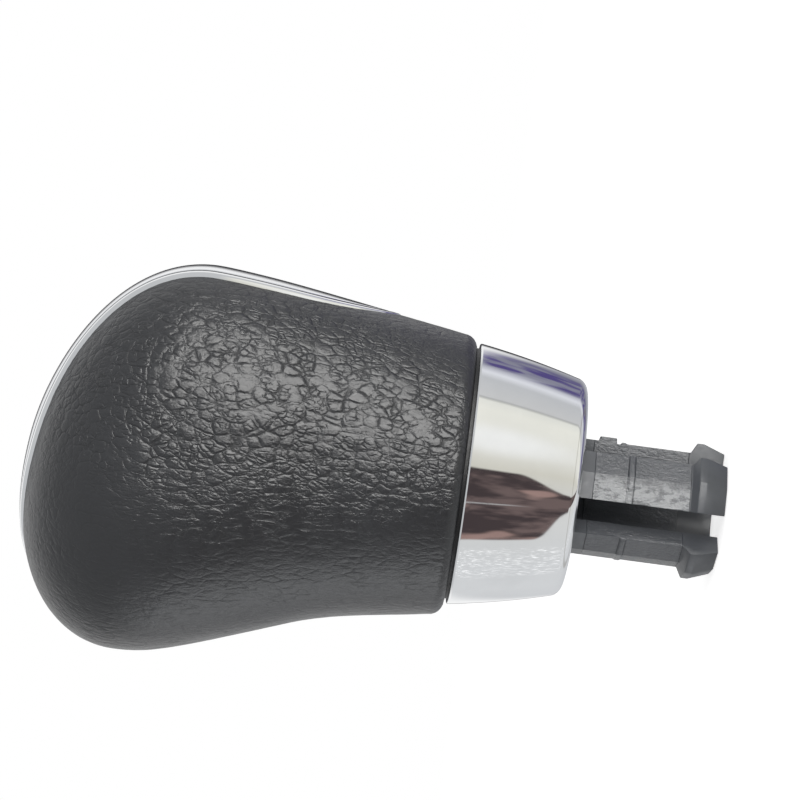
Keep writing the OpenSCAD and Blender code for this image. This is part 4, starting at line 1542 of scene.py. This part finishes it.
@dataclass(frozen=True)
class Studio:
    """The floor, the lamps, the surroundings and the camera, in metres."""

    distance: float = 0.350
    middle: Pair = (0.0102, 0.0262)
    picture_width: float = 0.1143
    roll: Pair = (0.1323, 0.9912)
    sensor_width: float = 36.0
    clip: Pair = (0.01, 20.0)
    floor_z: float = -0.0209
    floor_radius: float = 0.9
    floor_sides: int = 96
    floor_colour: Colour = (0.8, 0.8, 0.8)
    floor_glow: float = 0.7
    fill_light: Colour = (0.5, 0.5, 0.5)
    white: Colour = (1, 1, 1)
    lamps: tuple[Lamp, ...] = (
        Lamp("key_lamp", (0.51, -0.82, -0.25), 0.5, 0.44, 5.2, (1.0, 0.99, 0.97)),
        Lamp("rim_lamp", (0.90, -0.42, -0.10), 0.5, 0.10, 0.7, (1.0, 0.99, 0.97)),
        Lamp("fill_lamp", (-0.96, 0.05, -0.28), 0.6, 0.40, 0.75, (0.96, 0.98, 1.0)),
    )

    def camera(self) -> None:
        """Looks square across the lever, with the head to the left and the panel up."""
        data = bpy.data.cameras.new("photo_camera")
        data.sensor_width = self.sensor_width
        data.lens = self.distance / self.picture_width * self.sensor_width
        data.clip_start, data.clip_end = self.clip
        camera = bpy.data.objects.new("photo_camera", data)
        s, c = self.roll
        camera.matrix_world = Matrix(((s, c, 0, self.middle[0]), (0, 0, -1, -self.distance),
                                      (-c, s, 0, self.middle[1]), (0, 0, 0, 1)))
        bpy.context.scene.collection.objects.link(camera)
        bpy.context.scene.camera = camera

    def keep_off(self, lamp: bpy.types.Object, pieces: Sequence[bpy.types.Object]) -> None:
        """Keeps a lamp's own disc out of the mirrors, which show the room instead.

        Args:
            lamp: The lamp.
            pieces: The mirrors.
        """
        lit = bpy.data.collections.new(lamp.name + "_lit")
        for piece in pieces:
            lit.objects.link(piece)
        lamp.light_linking.receiver_collection = lit
        for link in lit.collection_objects:
            link.light_linking.link_state = "EXCLUDE"

    @staticmethod
    def seen(board: Board) -> tuple[Socket, Socket]:
        """Which rays show the background.

        Args:
            board: The tree of the floor or the world.

        Returns:
            1 for rays from the camera or through glass, and 1 for rays from a mirror.
        """
        path = board.add("ShaderNodeLightPath").outputs
        seen = board.math("MAXIMUM", path["Is Camera Ray"], path["Is Transmission Ray"])
        return seen, path["Is Glossy Ray"]

    def surroundings(self) -> None:
        """A white background, an even fill, and a room for the mirrors."""
        world = bpy.data.worlds.new("studio_room")
        world.use_nodes = True
        tree = world.node_tree
        tree.nodes.clear()
        board = Board(tree)
        way = board.add("ShaderNodeTexCoord").outputs["Generated"]
        seen, glossy = self.seen(board)
        light = board.blend(glossy, self.fill_light, MirroredRoom().build(board, way))
        colour = board.blend(seen, light, self.white)
        back = board.add("ShaderNodeBackground", {"Color": colour, "Strength": 1.0})
        out = board.add("ShaderNodeOutputWorld")
        tree.links.new(back.outputs[0], out.inputs[0])
        bpy.context.scene.world = world

    def floor(self) -> None:
        """A plain pale floor under the sleeve, which keeps the knob's soft shadow."""
        bm = bmesh.new()
        bmesh.ops.create_circle(bm, cap_ends=True, radius=self.floor_radius,
                                segments=self.floor_sides)
        bmesh.ops.translate(bm, verts=bm.verts, vec=(0, 0, self.floor_z))
        mesh = bpy.data.meshes.new("floor")
        bm.to_mesh(mesh)
        bm.free()
        material = bpy.data.materials.new("floor_white")
        material.use_nodes = True
        tree = material.node_tree
        tree.nodes.clear()
        board = Board(tree)
        seen, _ = self.seen(board)
        paint = board.add("ShaderNodeBsdfDiffuse", {"Color": (*self.floor_colour, 1)})
        glow = board.add("ShaderNodeEmission", {"Color": (*self.white, 1),
                                                "Strength": board.times(seen, self.floor_glow)})
        both = board.add("ShaderNodeAddShader", {0: paint.outputs[0], 1: glow.outputs[0]})
        out = board.add("ShaderNodeOutputMaterial")
        tree.links.new(both.outputs[0], out.inputs[0])
        mesh.materials.append(material)
        floor = bpy.data.objects.new("floor", mesh)
        floor.visible_glossy = False
        bpy.context.scene.collection.objects.link(floor)

    def build(self, mirrors: Sequence[bpy.types.Object]) -> None:
        """Sets up the whole studio.

        Args:
            mirrors: The bright pieces, which show the room and not the lamps.
        """
        bpy.context.scene.view_settings.view_transform = "Standard"
        self.camera()
        self.surroundings()
        self.floor()
        for lamp in self.lamps:
            self.keep_off(lamp.build(), mirrors)
        log.info("studio ready")


def dress_hidden(shop: Workshop) -> None:
    """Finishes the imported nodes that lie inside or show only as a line.

    Args:
        shop: The workshop.
    """
    for node in ("core_left", "core_right"):
        shop.dress(node, Slot.CORE)
    for i in range(1, 5):
        shop.dress(f"core_screw_{i}", Slot.SCREW)
        shop.dress(f"sleeve_screw_{i}", Slot.SCREW)
    shop.dress("tuck_ring", Slot.BLACK)
    shop.dress("lever_socket", Slot.SOCKET)
    shop.dress("damper_bush", Slot.RUBBER)
    shop.dress("locking_clip", Slot.SPRING)


def main() -> None:
    """Builds the knob's pieces in order, then the studio."""
    logging.basicConfig(level=logging.INFO, format="%(name)s: %(message)s")
    shop = Workshop()
    layout = TrimLayout()
    LeatherCover(layout).build(shop)
    mirrors = [*Trim(layout).build(shop), Collar().build(shop)]
    GaiterSleeve().build(shop)
    dress_hidden(shop)
    Studio().build(mirrors)


if __name__ == "__main__":
    main()
